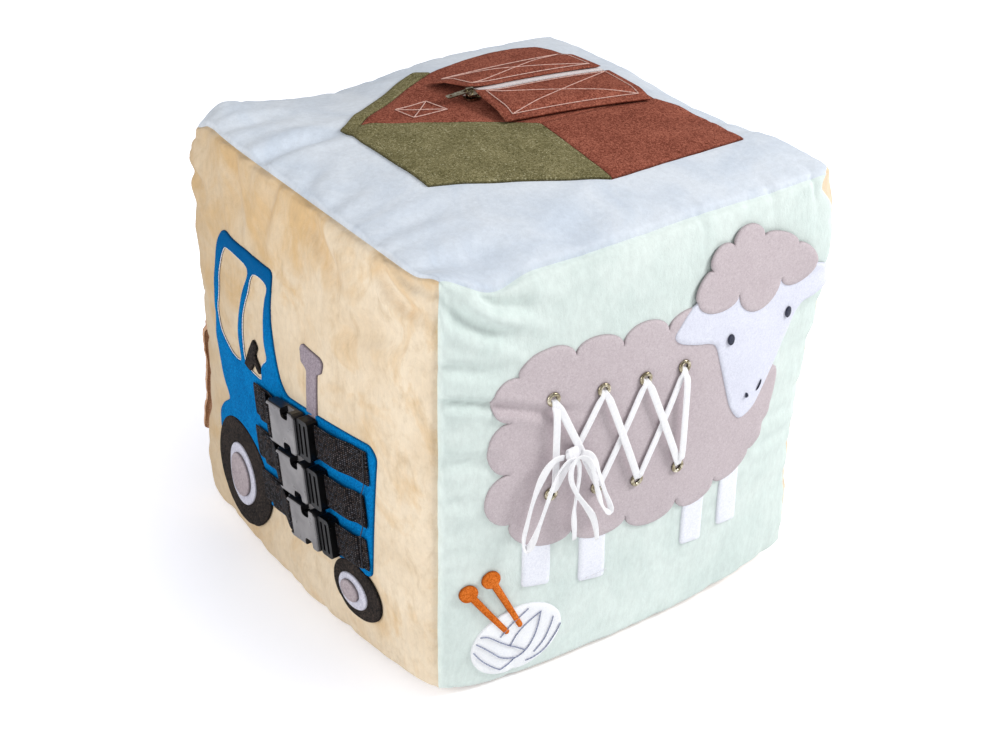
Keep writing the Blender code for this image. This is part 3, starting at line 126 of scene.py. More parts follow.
def make_camera():
    """The photograph's camera, a little to the side of the cube's middle and rolled a little."""
    az, el = CAMERA_AZIMUTH, CAMERA_ELEVATION
    back = Vector((math.sin(az) * math.cos(el), -math.cos(az) * math.cos(el), math.sin(el)))
    right = Vector((math.cos(az), math.sin(az), 0))
    up = back.cross(right)
    place = Vector((0, 0, 0.5)) + right * CAMERA_SIDE + up * CAMERA_UP + back * CAMERA_DISTANCE
    turned_right = right * math.cos(CAMERA_ROLL) + up * math.sin(CAMERA_ROLL)
    turned_up = up * math.cos(CAMERA_ROLL) - right * math.sin(CAMERA_ROLL)
    camera = bpy.data.objects.new("camera", bpy.data.cameras.new("camera"))
    bpy.context.scene.collection.objects.link(camera)
    camera.data.lens = CAMERA_LENS
    camera.data.sensor_width = CAMERA_SENSOR
    camera.data.clip_start = 0.01
    camera.data.clip_end = 50
    turn = Matrix((turned_right, turned_up, back)).transposed().to_4x4()
    camera.matrix_world = Matrix.Translation(place * EDGE) @ turn
    bpy.context.scene.camera = camera


make_camera()


# Materials


def srgb(colour):
    """Linear colour of an sRGB colour whose channels run from 0 to 255."""
    channels = []
    for value in colour:
        share = value / 255
        channels.append(share / 12.92 if share < 0.04045 else ((share + 0.055) / 1.055) ** 2.4)
    return (*channels, 1.0)


class Look:
    """A material's node tree, built up node by node."""

    def __init__(self, name, roughness=0.9, metallic=0.0, sheen=0.0, specular=0.5):
        self.material = bpy.data.materials.new(name)
        self.material.use_nodes = True
        self.tree = self.material.node_tree
        self.shader = self.tree.nodes["Principled BSDF"]
        self.last_normal = None
        finish = {"Roughness": roughness, "Metallic": metallic, "Sheen Weight": sheen,
                  "Sheen Roughness": 0.45, "Specular IOR Level": specular}
        for socket, value in finish.items():
            self.feed(self.shader.inputs[socket], value)

    def feed(self, socket, value):
        if isinstance(value, bpy.types.NodeSocket):
            self.tree.links.new(value, socket)
        else:
            socket.default_value = value

    def node(self, kind, inputs=None, **settings):
        """A new node with its settings, and a number or a link for each input that is named."""
        made = self.tree.nodes.new(kind)
        for key, value in settings.items():
            setattr(made, key, value)
        for socket, value in (inputs or {}).items():
            self.feed(made.inputs[socket], value)
        return made

    def place(self, scale=(1, 1, 1), uv=False):
        """Places in the object's own space, or along and across a band, in metres."""
        source = self.node("ShaderNodeTexCoord").outputs["UV" if uv else "Object"]
        return self.node("ShaderNodeMapping", {"Vector": source, "Scale": scale}).outputs[0]

    def axis(self, name, uv=False):
        return self.node("ShaderNodeSeparateXYZ", {0: self.place(uv=uv)}).outputs[name]

    def noise(self, scale, detail=3, rough=0.55, distortion=0.0, vector=None):
        inputs = {"Scale": scale, "Detail": detail, "Roughness": rough, "Distortion": distortion,
                  "Vector": self.place() if vector is None else vector}
        return self.node("ShaderNodeTexNoise", inputs).outputs["Fac"]

    def ramp(self, value, stops):
        made = self.node("ShaderNodeValToRGB", {"Fac": value})
        elements = made.color_ramp.elements
        while len(elements) < len(stops):
            elements.new(0.5)
        for element, (position, colour) in zip(elements, stops):
            element.position = position
            element.color = colour
        return made.outputs["Color"]

    def span(self, value, low, high, to_low=0.0, to_high=1.0):
        """The value with the range from low to high stretched to a new one, and held at its ends."""
        inputs = {"Value": value, "From Min": low, "From Max": high, "To Min": to_low, "To Max": to_high}
        return self.node("ShaderNodeMapRange", inputs).outputs[0]

    def math(self, operation, *values):
        return self.node("ShaderNodeMath", dict(enumerate(values)), operation=operation).outputs[0]

    def mix(self, factor, first, second):
        return self.node("ShaderNodeMix", {0: factor, 6: first, 7: second}, data_type="RGBA").outputs[2]

    def colour(self, value):
        self.feed(self.shader.inputs["Base Color"], value)

    def rough(self, value):
        self.feed(self.shader.inputs["Roughness"], value)

    def bump(self, height, distance, strength):
        inputs = {"Height": height, "Distance": distance, "Strength": strength}
        if self.last_normal is not None:
            inputs["Normal"] = self.last_normal
        self.last_normal = self.node("ShaderNodeBump", inputs).outputs[0]
        self.feed(self.shader.inputs["Normal"], self.last_normal)


NAP_SHADE = (0.05, 0.04, 0.03, 1)


def stained_and_shaded(look, tone, stain_and_shade_tone, low_stain_and_shade_tone):
    """Dyed patches, which grow towards the top and fade at the back, with finer marks. Their growth towards
    the left and a darker tone over the left side are painted shade.
    """
    wash = look.noise(17, detail=5, rough=0.62, distortion=1.6)
    near_top = look.span(look.axis("Z"), 0.10, 0.25, 0.0, 0.12)
    # painted shade: more of the stain towards the left, away from the key lamp
    painted_shade_left = look.span(look.axis("X"), -0.12, 0.10, 0.09, -0.03)
    to_back = look.span(look.axis("Y"), 0.09, 0.13, 0.0, -0.12)
    amount = look.math("ADD", look.math("ADD", wash, near_top), look.math("ADD", painted_shade_left, to_back))
    streaks = look.noise(60, detail=5, rough=0.7, distortion=1.2, vector=look.place(scale=(1, 1, 0.5)))
    grain = look.noise(150, detail=4, rough=0.7)
    tone = look.mix(look.span(amount, 0.53, 0.78, 0, 0.95), tone, stain_and_shade_tone)
    tone = look.mix(look.span(streaks, 0.53, 0.72, 0, 0.50), tone, low_stain_and_shade_tone)
    tone = look.mix(look.span(grain, 0.50, 0.70, 0, 0.25), tone, low_stain_and_shade_tone)
    # painted shade: a darker tone over the left side, away from the key lamp
    return look.mix(look.span(look.axis("X"), -0.13, 0.09, 0.56, 0.0), tone, low_stain_and_shade_tone)


def plush(name, base, shade, *stain_and_shade_tones):
    """Short brushed pile: soft shading, faint nap marks and, where two more tones are given, stains and
    painted shade towards the left.
    """
    look = Look(name, roughness=0.95, sheen=0.12, specular=0.12)
    broad = look.noise(22, detail=4, rough=0.6, distortion=0.6)
    tone = look.ramp(broad, [(0.34, shade), (0.60, base)])
    if stain_and_shade_tones:
        tone = stained_and_shaded(look, tone, *stain_and_shade_tones)
    nap = look.noise(300, detail=4, rough=0.75, vector=look.place(scale=(1, 1, 0.45)))
    look.colour(look.mix(look.span(nap, 0.32, 0.68, 0.12, 0.0), tone, NAP_SHADE))
    look.bump(look.noise(42, detail=3), 0.0016, 0.35)
    look.bump(nap, 0.0006, 0.40)
    look.bump(look.noise(1400, detail=2), 0.0003, 0.5)
    return look.material


def felt(name, dark, base, light, flecks=None, shade_grade=None, edge_shadow_strength=0.75):
    """Pressed felt: matted fibres of three tones, with painted shadow darkening its cut edge.

    Flecks are an amount and a colour. A shade grade is the two heights between which another colour
    takes over, and that colour: painted shade, darker towards the top.
    """
    look = Look(name, roughness=0.95, specular=0.06)
    fibre = look.noise(900, detail=4, rough=0.8, distortion=1.0)
    cloud = look.noise(60, detail=3, rough=0.6)
    both = look.math("MULTIPLY_ADD", cloud, 0.14, look.math("MULTIPLY", fibre, 0.86))
    tone = look.ramp(both, [(0.40, dark), (0.5, base), (0.60, light)])
    if shade_grade:
        low, high, colour = shade_grade
        # painted shade: the felt darker towards its top
        tone = look.mix(look.span(look.axis("Z"), low, high), tone, srgb(colour))
    if flecks:
        amount, colour = flecks
        spots = look.noise(420, detail=2, rough=0.5, distortion=2.5)
        tone = look.mix(look.span(spots, 0.60, 0.70, 0, amount), tone, srgb(colour))
    # painted shadow along the felt's cut edge and side wall
    edge_shadow_mask = look.node("ShaderNodeAttribute", attribute_name="painted_edge_shadow").outputs["Fac"]
    edge_shadow_tone = (*(channel * 0.2 for channel in dark[:3]), 1)
    look.colour(look.mix(look.math("MULTIPLY", edge_shadow_mask, edge_shadow_strength), tone, edge_shadow_tone))
    look.bump(look.noise(55, detail=2), 0.0010, 0.25)
    look.bump(fibre, 0.0004, 0.35)
    return look.material


# Length and width of the ribs in the webbing's weave, and the pitch of the lace's and the tape's
RIB_LENGTH = 0.00175
RIB_WIDTH = 0.00115
LACE_PITCH = 0.0011
TAPE_PITCH = 0.0012


def webbing_look(name):
    """Black nylon webbing: ribs of single picks, with painted glints of brown or blue on some and painted
    shade between the ribs.
    """
    look = Look(name, roughness=0.7, specular=0.06)
    along = look.math("DIVIDE", look.axis("X", uv=True), RIB_LENGTH)
    across = look.math("DIVIDE", look.axis("Y", uv=True), RIB_WIDTH)
    rib = look.node("ShaderNodeCombineXYZ", {0: look.math("FLOOR", along), 1: look.math("FLOOR", across)})
    chance = look.node("ShaderNodeTexWhiteNoise", {"Vector": rib.outputs[0]})
    round_along, round_across = (
        look.math("SINE", look.math("MULTIPLY", look.math("FRACT", way), math.pi)) for way in (along, across))
    pick = look.math("MULTIPLY", round_along, round_across)
    # painted glints on some of the picks
    painted_glint = look.span(chance.outputs["Value"], 0.0, 1.0, 0.06, 0.80)
    glint_tint = look.mix(chance.outputs["Color"], srgb((126, 104, 92)), srgb((104, 112, 126)))
    tone = look.mix(look.math("MULTIPLY", painted_glint, pick), srgb((10, 9, 10)), glint_tint)
    # painted shade between the ribs
    look.colour(look.mix(look.span(pick, 0.0, 0.7, 0.95, 0.0), tone, srgb((3, 3, 4))))
    look.bump(pick, 0.0006, 0.9)
    return look.material


def woven_look(name, base, shade, pitch):
    """Flat woven cotton or polyester seen in its own length and width."""
    look = Look(name, roughness=0.85, specular=0.2, sheen=0.15)
    along = look.math("SINE", look.math("MULTIPLY", look.axis("X", uv=True), 2 * math.pi / pitch))
    across = look.math("SINE", look.math("MULTIPLY", look.axis("Y", uv=True), 2 * math.pi / (pitch * 0.8)))
    weave = look.span(look.math("MULTIPLY", along, across), -1, 1)
    mixed = look.math("MULTIPLY_ADD", look.noise(500, detail=3), 0.5, look.math("MULTIPLY", weave, 0.5))
    look.colour(look.ramp(mixed, [(0.3, shade), (0.55, base)]))
    look.bump(weave, 0.0002, 0.7)
    return look.material


# Way that the plastic's broad outer faces look, out from the front face and a little up. Faces turned this
# way get a painted highlight, the others painted shade
PAINTED_HIGHLIGHT_WAY = Vector((0.0, -1.0, 0.05)).normalized()


def plastic_look(name, low, high, edge, gloss):
    """Moulded plastic, with a painted highlight on its broad outer face and painted shade down its sides."""
    look = Look(name, roughness=0.32, specular=gloss)
    tone = look.ramp(look.noise(70, detail=3), [(0.35, low), (0.65, high)])
    normal = look.node("ShaderNodeNewGeometry").outputs["True Normal"]
    highlight_facing = look.node("ShaderNodeVectorMath", {0: normal, 1: PAINTED_HIGHLIGHT_WAY}, operation="DOT_PRODUCT")
    # painted highlight on faces turned out, painted shade on the sides
    look.colour(look.mix(look.span(highlight_facing.outputs["Value"], 0.80, 0.97), edge, tone))
    look.rough(look.span(look.noise(150, detail=4), 0.3, 0.7, 0.24, 0.42))
    look.bump(look.noise(1100, detail=2), 0.0001, 0.25)
    return look.material


def metal_look(name, low, middle, high):
    """Plated metal, dulled and darker in its low spots."""
    look = Look(name, roughness=0.30, metallic=1.0)
    tarnish = look.noise(420, detail=3, rough=0.6)
    look.colour(look.ramp(tarnish, [(0.36, low), (0.50, middle), (0.66, high)]))
    look.rough(look.span(look.noise(500, detail=3), 0.3, 0.7, 0.20, 0.36))
    return look.material


def thread_look(name, base, shade):
    """Twisted sewing thread or bare nylon."""
    look = Look(name, roughness=0.7, specular=0.3, sheen=0.2)
    look.colour(look.ramp(look.noise(1600, detail=2), [(0.35, shade), (0.6, base)]))
    look.bump(look.noise(2600, detail=1), 0.0001, 0.5)
    return look.material


# Every material: its maker, its name, its tones as sRGB colours and its other settings
LOOKS = [
    (plush, "sky_plush", [(223, 230, 239), (208, 218, 231)], {}),
    # the cream's last two tones are its stains, which also serve as painted shade towards the left
    (plush, "cream_plush", [(240, 223, 198), (230, 210, 182), (223, 187, 136), (200, 173, 136)], {}),
    (plush, "mint_plush", [(228, 239, 235), (218, 231, 227)], {}),
    (felt, "blue_felt", [(0, 90, 150), (0, 113, 180), (6, 132, 200)], {"shade_grade": (0.15, 0.21, (0, 80, 136))}),
    (felt, "black_felt", [(22, 20, 20), (44, 41, 41), (74, 64, 58)], {}),
    (felt, "grey_felt", [(150, 138, 144), (174, 162, 167), (194, 182, 186)], {}),
    (felt, "pipe_felt", [(132, 120, 130), (154, 142, 151), (172, 160, 168)], {}),
    (felt, "white_felt", [(216, 218, 232), (224, 226, 240), (232, 234, 247)], {"edge_shadow_strength": 0.35}),
    (felt, "leg_felt", [(230, 232, 243), (240, 242, 251), (246, 247, 254)], {"edge_shadow_strength": 0.35}),
    (felt, "ball_felt", [(242, 244, 250), (250, 251, 255), (253, 254, 255)], {"edge_shadow_strength": 0.35}),
    # white felt of the wheel rims, painted grey-lavender as shade
    (felt, "rim_felt", [(184, 182, 198), (206, 205, 220), (222, 222, 234)], {}),
    (felt, "sheep_felt", [(189, 176, 181), (199, 187, 191), (208, 197, 201)], {"edge_shadow_strength": 0.45}),
    (felt, "roof_felt", [(78, 74, 46), (116, 110, 76), (150, 142, 106)], {"flecks": (0.7, (190, 184, 150))}),
    (felt, "barn_felt", [(94, 46, 34), (137, 75, 60), (178, 110, 90)], {"flecks": (0.5, (84, 40, 34))}),
    (felt, "orange_felt", [(176, 84, 24), (214, 108, 34), (232, 134, 62)], {}),
    (felt, "tan_felt", [(186, 140, 110), (212, 170, 140), (226, 190, 162)], {"edge_shadow_strength": 0.15}),
    (webbing_look, "black_webbing", [], {}),
    # the third tone of each plastic is the painted shade down its sides
    (plastic_look, "grey_plastic", [(106, 103, 105), (134, 131, 132), (20, 19, 21)], {"gloss": 0.4}),
    (plastic_look, "black_plastic", [(12, 12, 13), (20, 19, 21), (8, 8, 9)], {"gloss": 0.14}),
    (metal_look, "antique_metal", [(118, 108, 86), (150, 141, 118), (206, 199, 180)], {}),
    (woven_look, "cotton_lace", [(253, 253, 255), (238, 237, 242)], {"pitch": LACE_PITCH}),
    (woven_look, "zip_tape", [(240, 234, 234), (206, 196, 198)], {"pitch": TAPE_PITCH}),
    (thread_look, "pink_thread", [(226, 190, 178), (196, 150, 138)], {}),
    (thread_look, "blue_grey_thread", [(150, 156, 180), (106, 112, 140)], {}),
    (thread_look, "dark_thread", [(52, 56, 76), (28, 30, 44)], {}),
    (thread_look, "webbing_thread", [(36, 40, 52), (20, 22, 28)], {}),
    (thread_look, "zip_coil", [(244, 240, 240), (220, 212, 214)], {}),
    (thread_look, "white_thread", [(236, 236, 240), (200, 200, 208)], {}),
]
MATERIALS = {name: maker(name, *map(srgb, tones), **settings) for maker, name, tones, settings in LOOKS}


# The soft faces of the cube, worked out for many points at once


def bow(share):
    """One in the middle of a range of shares from -1 to 1, and zero at its ends."""
    return np.clip(1 - share * share, 0, None)


def skeleton(shares):
    """Points of the cube's uncrowned skin, from shares between -1 and 1."""
    x, y, z = shares.T
    points = np.stack((HALF * x, HALF * y, CORNER_LIFT + (EDGE - CORNER_LIFT) * (z + 1) / 2), 1)
    along_x = bow(x) * np.abs(y) ** EDGE_POWER
    along_y = bow(y) * np.abs(x) ** EDGE_POWER
    upper = np.clip(z, 0, None) ** EDGE_POWER
    lower = np.clip(-z, 0, None) ** EDGE_POWER
    push = upper * TOP_EDGE_BOW + lower * BOTTOM_EDGE_BOW
    points[:, 0] += np.sign(x) * push * along_y
    points[:, 1] += np.sign(y) * push * along_x
    points[:, 2] += (upper * TOP_EDGE_BOW - lower * CORNER_LIFT * BOTTOM_SAG_SHARE) * (along_x + along_y)
    return points


def face_axes(face):
    """Directions across, up and out of a face."""
    across, up = (np.array(way, float) for way in FACES[face][:2])
    return across, up, np.cross(across, up)


def skin_shares(face, a, b):
    """Shares of the cube at shares across and up a face."""
    across, up, out = face_axes(face)
    return a[:, None] * across + b[:, None] * up + out


def plain_surface(face, a, b):
    """Crowned face without folds, which the rigid pieces stand on."""
    points = skeleton(skin_shares(face, a, b))
    swell = (bow(a) * bow(b)) ** CROWN_POWER
    if face == "bottom":
        points[:, 2] = np.clip(points[:, 2] - BOTTOM_PRESS_SHARE * CORNER_LIFT * swell, 0, None)
        return points
    return points + face_axes(face)[2] * (FACES[face][2] * swell)[:, None]


# Broad dents and bulges of the soft cover: place and reach in shares of the half edge, then the shift
# in metres
DENTS = [
    ((-1.0, -0.25, 1.0), (0.36, 0.36, 0.45), (0.0015, 0.0, -0.0058)),
    ((-1.0, -0.88, 1.0), (0.24, 0.17, 0.26), (0.0, 0.0, 0.0066)),
    ((-1.0, -1.0, 1.0), (0.09, 0.09, 0.12), (0.0, -0.0004, -0.0066)),
    ((-1.0, -1.0, 0.60), (0.20, 0.20, 0.34), (-0.0026, -0.0020, 0.0)),
    ((-1.0, -1.0, 0.79), (0.16, 0.16, 0.05), (-0.0030, -0.0026, 0.0)),
    ((-1.0, -1.0, 0.60), (0.16, 0.16, 0.05), (0.0013, 0.0012, 0.0)),
    ((-1.0, -1.0, -0.80), (0.22, 0.22, 0.25), (-0.0026, -0.0030, 0.0)),
    ((1.0, 1.0, 0.95), (0.45, 0.45, 0.42), (0.0040, 0.0058, 0.0)),
    ((1.0, 1.0, 0.46), (0.40, 0.15, 0.38), (0.0022, 0.0033, 0.0)),
    ((1.0, 1.0, 0.95), (0.035, 0.11, 0.085), (0.0, -0.0088, 0.0)),
    ((1.0, 1.0, -0.35), (0.40, 0.40, 0.60), (-0.0020, -0.0040, 0.0)),
    ((0.80, 1.0, 1.0), (0.34, 0.28, 0.30), (0.0, 0.0, 0.0046)),
    ((0.1, 1.0, 1.0), (0.36, 0.35, 0.35), (0.0, -0.001, -0.0035)),
    ((1.0, -0.74, 1.0), (0.18, 0.12, 0.18), (0.0014, 0.0, -0.0060)),
    ((1.0, -0.30, 1.0), (0.22, 0.50, 0.22), (0.0, 0.0, -0.0034)),
    ((1.0, -1.0, 1.0), (0.13, 0.12, 0.14), (0.0, 0.0, 0.0075)),
    ((-0.20, -1.0, -1.0), (0.55, 0.25, 0.25), (0.0, -0.0030, 0.0)),
]
# Places where the lower edge hangs down to the floor: place and reach as above, then the drop
DROPS = [
    ((-1.0, -1.0, -1.0), (0.38, 0.38, 0.50), 0.0085),
    ((1.0, -0.80, -1.0), (0.35, 0.35, 0.35), 0.0050),
]
UNDERSIDE_INSET = 0.0025
# Folds of the cover as lines in shares of a face, with their width and depth in metres
CREASES = [
    ("right", [(-1.0, 0.92), (-0.82, 0.81), (-0.60, 0.68)], 0.0045, 0.0034),
    ("right", [(-0.79, 0.98), (-0.68, 0.90), (-0.50, 0.80)], 0.0045, 0.0030),
    ("right", [(-1.0, 0.50), (-0.79, 0.44), (-0.54, 0.34), (-0.30, 0.28)], 0.0026, 0.0030),
    ("right", [(-1.0, 0.66), (-0.83, 0.60), (-0.70, 0.57)], 0.0036, 0.0022),
    ("right", [(-1.0, 0.20), (-0.78, 0.17)], 0.0036, 0.0024),
    ("right", [(-1.0, 0.00), (-0.87, -0.02)], 0.0034, 0.0014),
    ("right", [(-1.0, 0.37), (-0.89, 0.34)], 0.0030, 0.0010),
    ("right", [(-1.0, -0.29), (-0.90, -0.28)], 0.0034, 0.0010),
    ("right", [(0.72, -0.16), (0.98, -0.16)], 0.0040, 0.0012),
    ("right", [(0.72, -0.29), (0.98, -0.30)], 0.0040, 0.0012),
    ("front", [(0.66, 0.92), (0.81, 0.855), (0.995, 0.86)], 0.0036, 0.0036),
    ("front", [(0.12, 0.92), (0.28, 0.81), (0.40, 0.71)], 0.0055, 0.0034),
    ("front", [(0.76, 0.97), (0.99, 0.96)], 0.0030, 0.0014),
    ("front", [(-0.59, 0.94), (-0.49, 0.70)], 0.0060, 0.0032),
    ("front", [(-0.22, 0.97), (-0.28, 0.68)], 0.0055, 0.0028),
    ("front", [(0.39, 0.56), (0.70, 0.68), (0.99, 0.73)], 0.0070, 0.0024),
    ("front", [(-0.99, 0.80), (-0.86, 0.66)], 0.0050, 0.0022),
    ("top", [(-0.39, -1.0), (-0.40, -0.79), (-0.37, -0.56)], 0.0060, 0.0034),
    ("top", [(0.53, -0.98), (0.50, -0.73), (0.52, -0.59)], 0.0060, 0.0018),
    ("top", [(0.19, -1.0), (0.13, -0.85)], 0.0050, 0.0014),
    ("top", [(-0.01, -1.0), (-0.15, -0.84)], 0.0050, 0.0014),
    ("top", [(0.83, -0.90), (0.83, -0.55)], 0.0060, 0.0020),
    ("top", [(0.90, -0.32), (0.78, -0.04)], 0.0070, 0.0012),
    ("top", [(-0.75, -0.98), (-0.70, -0.72)], 0.0055, 0.0018),
]
# Areas under rigid pieces, which stay smooth: face, middle and half size in shares
FIRM_PLACES = [
    ("front", (0.16, -0.26), (0.62, 0.42)),
    ("right", (-0.18, 0.16), (0.46, 0.36)),
    ("top", (-0.28, 0.36), (0.45, 0.46)),
]


def firmness(shares):
    """One under the straps, the lace and the zip, fading to zero round them."""
    total = np.zeros(len(shares))
    for face, middle, size in FIRM_PLACES:
        across, up, out = face_axes(face)
        here = (shares @ out) > 0.999
        u = np.abs(shares @ across - middle[0]) - size[0]
        v = np.abs(shares @ up - middle[1]) - size[1]
        away = np.clip(np.maximum(u, v), 0, None)
        total = np.maximum(total, here * np.exp(-(away / FIRM_FADE_SHARE) ** 2))
    return total


def wave(points, scale, seed):
    """Smooth noise at many points."""
    shift = Vector((seed * 13.7, seed * 7.3, seed * 3.1))
    return np.array([noise.noise(Vector(point) * scale + shift) for point in points])


def fold_depth(face, shares):
    """Depth of the listed folds, each a soft valley beside a lower ridge."""
    across, up, _ = face_axes(face)
    flat = np.stack((shares @ across, shares @ up), 1)
    total = np.zeros(len(shares))
    for owner, line, width, depth in CREASES:
        if owner != face:
            continue
        line = np.array(line)
        best = np.full(len(flat), 1e9)
        for start, end in zip(line, line[1:]):
            chord = end - start
            t = np.clip(((flat - start) @ chord) / (chord @ chord), 0, 1)
            best = np.minimum(best, np.linalg.norm(flat - (start + t[:, None] * chord), axis=1) * HALF)
        to_end = np.linalg.norm(flat - line[-1], axis=1) / np.linalg.norm(line[-1] - line[0])
        ridge = FOLD_RIDGE_SHARE * np.exp(-((best - 2 * width) / width) ** 2)
        total -= depth * (np.exp(-(best / width) ** 2) - ridge) * np.clip(to_end * FOLD_FADE_RATE, 0, 1)
    return total


def seam_relief(shares, gathered):
    """Seam valleys, rounded corners, and the tucks and puckers that run away from the seams."""
    size = np.abs(shares)
    order = np.sort(size, axis=1)
    to_seam = (1 - order[:, 1]) * HALF
    amount = -SEAM_DEPTH * np.exp(-(to_seam / SEAM_WIDTH) ** SEAM_POWER)
    amount -= CORNER_ROUND * (order[:, 1] * order[:, 0]) ** CORNER_POWER
    for k in range(3):
        i, j = (k + 1) % 3, (k + 2) % 3
        along = shares[:, k] * HALF
        away = (1 - size[:, i] + 1 - size[:, j]) * HALF
        # Each of the twelve seams has its own stretch of the noise
        seam = np.stack((np.sign(shares[:, i]) * 5 + k * 9, np.sign(shares[:, j]) * 5), 1)
        tucks = wave(np.column_stack((along * TUCK_RATE, seam)), 1.0, 2)
        valleys = np.clip(1 - np.abs(tucks) * TUCK_SHARPNESS, 0, 1) ** TUCK_POWER
        ripple = wave(np.column_stack((along * PUCKER_RATE, seam)), 1.0, 3)
        amount -= TUCK * valleys * np.exp(-(away / TUCK_REACH) ** TUCK_FADE_POWER) * gathered
        amount += PUCKER * ripple * np.exp(-away / PUCKER_REACH) * gathered
    return amount


def relief(shares):
    """How far the stuffed cover stands off the plain crowned form at each point of its skin."""
    size = np.abs(shares)
    soft = 1 - firmness(shares)
    far_side = np.clip(shares[:, 1] - shares[:, 0] - FAR_SIDE_SHARE, 0, 1)
    amount = seam_relief(shares, soft * (1 - FAR_CALM_SHARE * far_side))
    amount += LUMPS * wave(shares * HALF, 1 / LUMP_SIZE, 1) * soft
    amount += LUMPS * SMALL_LUMP_SHARE * wave(shares * HALF, SMALL_LUMP_RATE / LUMP_SIZE, 4) * soft
    rim = np.clip((1 - np.sort(size, axis=1)[:, 1]) * HALF / FOLD_RIM, 0, 1)
    for face in ("front", "right", "top"):
        here = (shares @ face_axes(face)[2]) > 0.9999
        if here.any():
            give = 1 - FOLD_SOFT_SHARE * (1 - soft[here])
            amount[here] += fold_depth(face, shares[here]) * rim[here] * give
    lean = np.sign(shares) * size ** LEAN_POWER
    lean /= np.linalg.norm(lean, axis=1)[:, None]
    shift = lean * amount[:, None]
    for middle, reach, move in DENTS:
        away = (shares - middle) / reach
        shift += np.array(move) * np.exp(-(away ** 2).sum(1))[:, None] * soft[:, None]
    shift[:, 2] *= np.clip((shares[:, 2] + 1) / FLOOR_FADE_SHARE, 0, 1)
    for middle, reach, drop in DROPS:
        away = (shares - middle) / reach
        shift[:, 2] -= drop * np.exp(-(away ** 2).sum(1))
    return shift


def soft_surface(face, a, b):
    """The face as it is seen, with its folds and dents, down to the floor."""
    points = plain_surface(face, a, b) + relief(skin_shares(face, a, b))
    if face == "bottom":
        to_seam = (1 - np.maximum(np.abs(a), np.abs(b))) * HALF
        inset = UNDERSIDE_INSET * np.clip(to_seam / UNDERSIDE_INSET, 0, 1)
        points[:, :2] *= (1 - inset / HALF)[:, None]
    points[:, 2] = np.clip(points[:, 2], 0, None)
    return points


def face_matrix(face):
    """Frame in the flat face: X across, Y up, Z out, with its origin at the face's middle."""
    across, up, out = map(Vector, face_axes(face))
    turn = Matrix((across, up, out)).transposed().to_4x4()
    return Matrix.Translation(Vector(CENTRE) + out * HALF) @ turn


def shares_at(face, u, v):
    """Shares of the crowned face under places given in metres from the face's middle."""
    across, up, out = face_axes(face)
    origin = CENTRE + out * HALF
    a = np.array(u, float) / HALF
    b = np.array(v, float) / HALF
    for _ in range(12):
        here = plain_surface(face, a, b) - origin
        a = np.clip(a + (u - here @ across) / HALF, -1, 1)
        b = np.clip(b + (v - here @ up) / HALF, -1, 1)
    return a, b


def on_face(face, spots, heights, soft=True):
    """World points at heights over the face, for places in metres from its middle."""
    spots = np.array(spots, float).reshape(-1, 2)
    a, b = shares_at(face, spots[:, 0], spots[:, 1])
    ground = soft_surface(face, a, b) if soft else plain_surface(face, a, b)
    return ground + face_axes(face)[2] * np.broadcast_to(heights, len(spots))[:, None]


def ground_height(face, u, v):
    """Height of the plain crowned face over the flat face at one place."""
    point = on_face(face, [(u, v)], 0.0, soft=False)[0]
    return (face_matrix(face).inverted() @ Vector(point)).z


def felt_frame(face, spot, turn=0.0):
    """Frame on the top of the felt, with X along a direction in the face and Z straight out."""
    u, v = spot
    step = FELT
    slope_u = (ground_height(face, u + step, v) - ground_height(face, u - step, v)) / (2 * step)
    slope_v = (ground_height(face, u, v + step) - ground_height(face, u, v - step)) / (2 * step)
    out = Vector((-slope_u, -slope_v, 1)).normalized()
    along = Vector((math.cos(turn), math.sin(turn), 0))
    along = (along - out * along.dot(out)).normalized()
    side = out.cross(along)
    place = Matrix.Translation(Vector((u, v, ground_height(face, u, v))))
    on_cover = face_matrix(face) @ place @ Matrix((along, side, out)).transposed().to_4x4()
    return on_cover @ Matrix.Translation(Vector((0, 0, FELT_TOP)))


# Lines of points


def catmull(before, start, end, after, t):
    """Point of a smooth curve between start and end, which knows the points beside them."""
    return 0.5 * (2 * start + (end - before) * t + (2 * before - 5 * start + 4 * end - after) * t ** 2
                  + (3 * start - before - 3 * end + after) * t ** 3)


class Walk:
    """A line of points, measured along its length."""

    def __init__(self, points):
        self.points = points
        self.lengths = [0.0]
        for before, after in zip(points, points[1:]):
            self.lengths.append(self.lengths[-1] + (after - before).length)
        self.length = self.lengths[-1]

    def at(self, target):
        """The point at a distance from the start."""
        index = max(0, min(bisect_left(self.lengths, target) - 1, len(self.points) - 2))
        span = max(1e-9, self.lengths[index + 1] - self.lengths[index])
        share = min(1.0, max(0.0, (target - self.lengths[index]) / span))
        return self.points[index].lerp(self.points[index + 1], share)


def open_curve(points, gap):
    """Smooth open curve through the points, with even steps."""
    dense = []
    last = len(points) - 1
    for i in range(last):
        corners = (points[max(0, i - 1)], points[i], points[i + 1], points[min(last, i + 2)])
        dense += [catmull(*corners, k / 16) for k in range(16)]
    walk = Walk([*dense, points[last]])
    parts = max(2, round(walk.length / gap))
    return [walk.at(walk.length * part / parts) for part in range(parts + 1)]


def way_at(line, i):
    """Direction of a line at one of its points."""
    return (line[min(i + 1, len(line) - 1)] - line[max(i - 1, 0)]).normalized()


def route_length(points):
    return Walk(points).length


def even_steps(first, last, steps):
    """Even steps from the first value to the last, both among them."""
    return [first + (last - first) * step / steps for step in range(steps + 1)]


def line_on_face(face, line, gap, lift):
    """World points over a face along a line of places, at most a gap apart."""
    dense = []
    for start, end in zip(line, line[1:]):
        parts = max(1, math.ceil((end - start).length / gap))
        dense += [start.lerp(end, k / parts) for k in range(parts)]
    dense.append(line[-1])
    return [Vector(point) for point in on_face(face, [tuple(p) for p in dense], lift)]


# Meshes

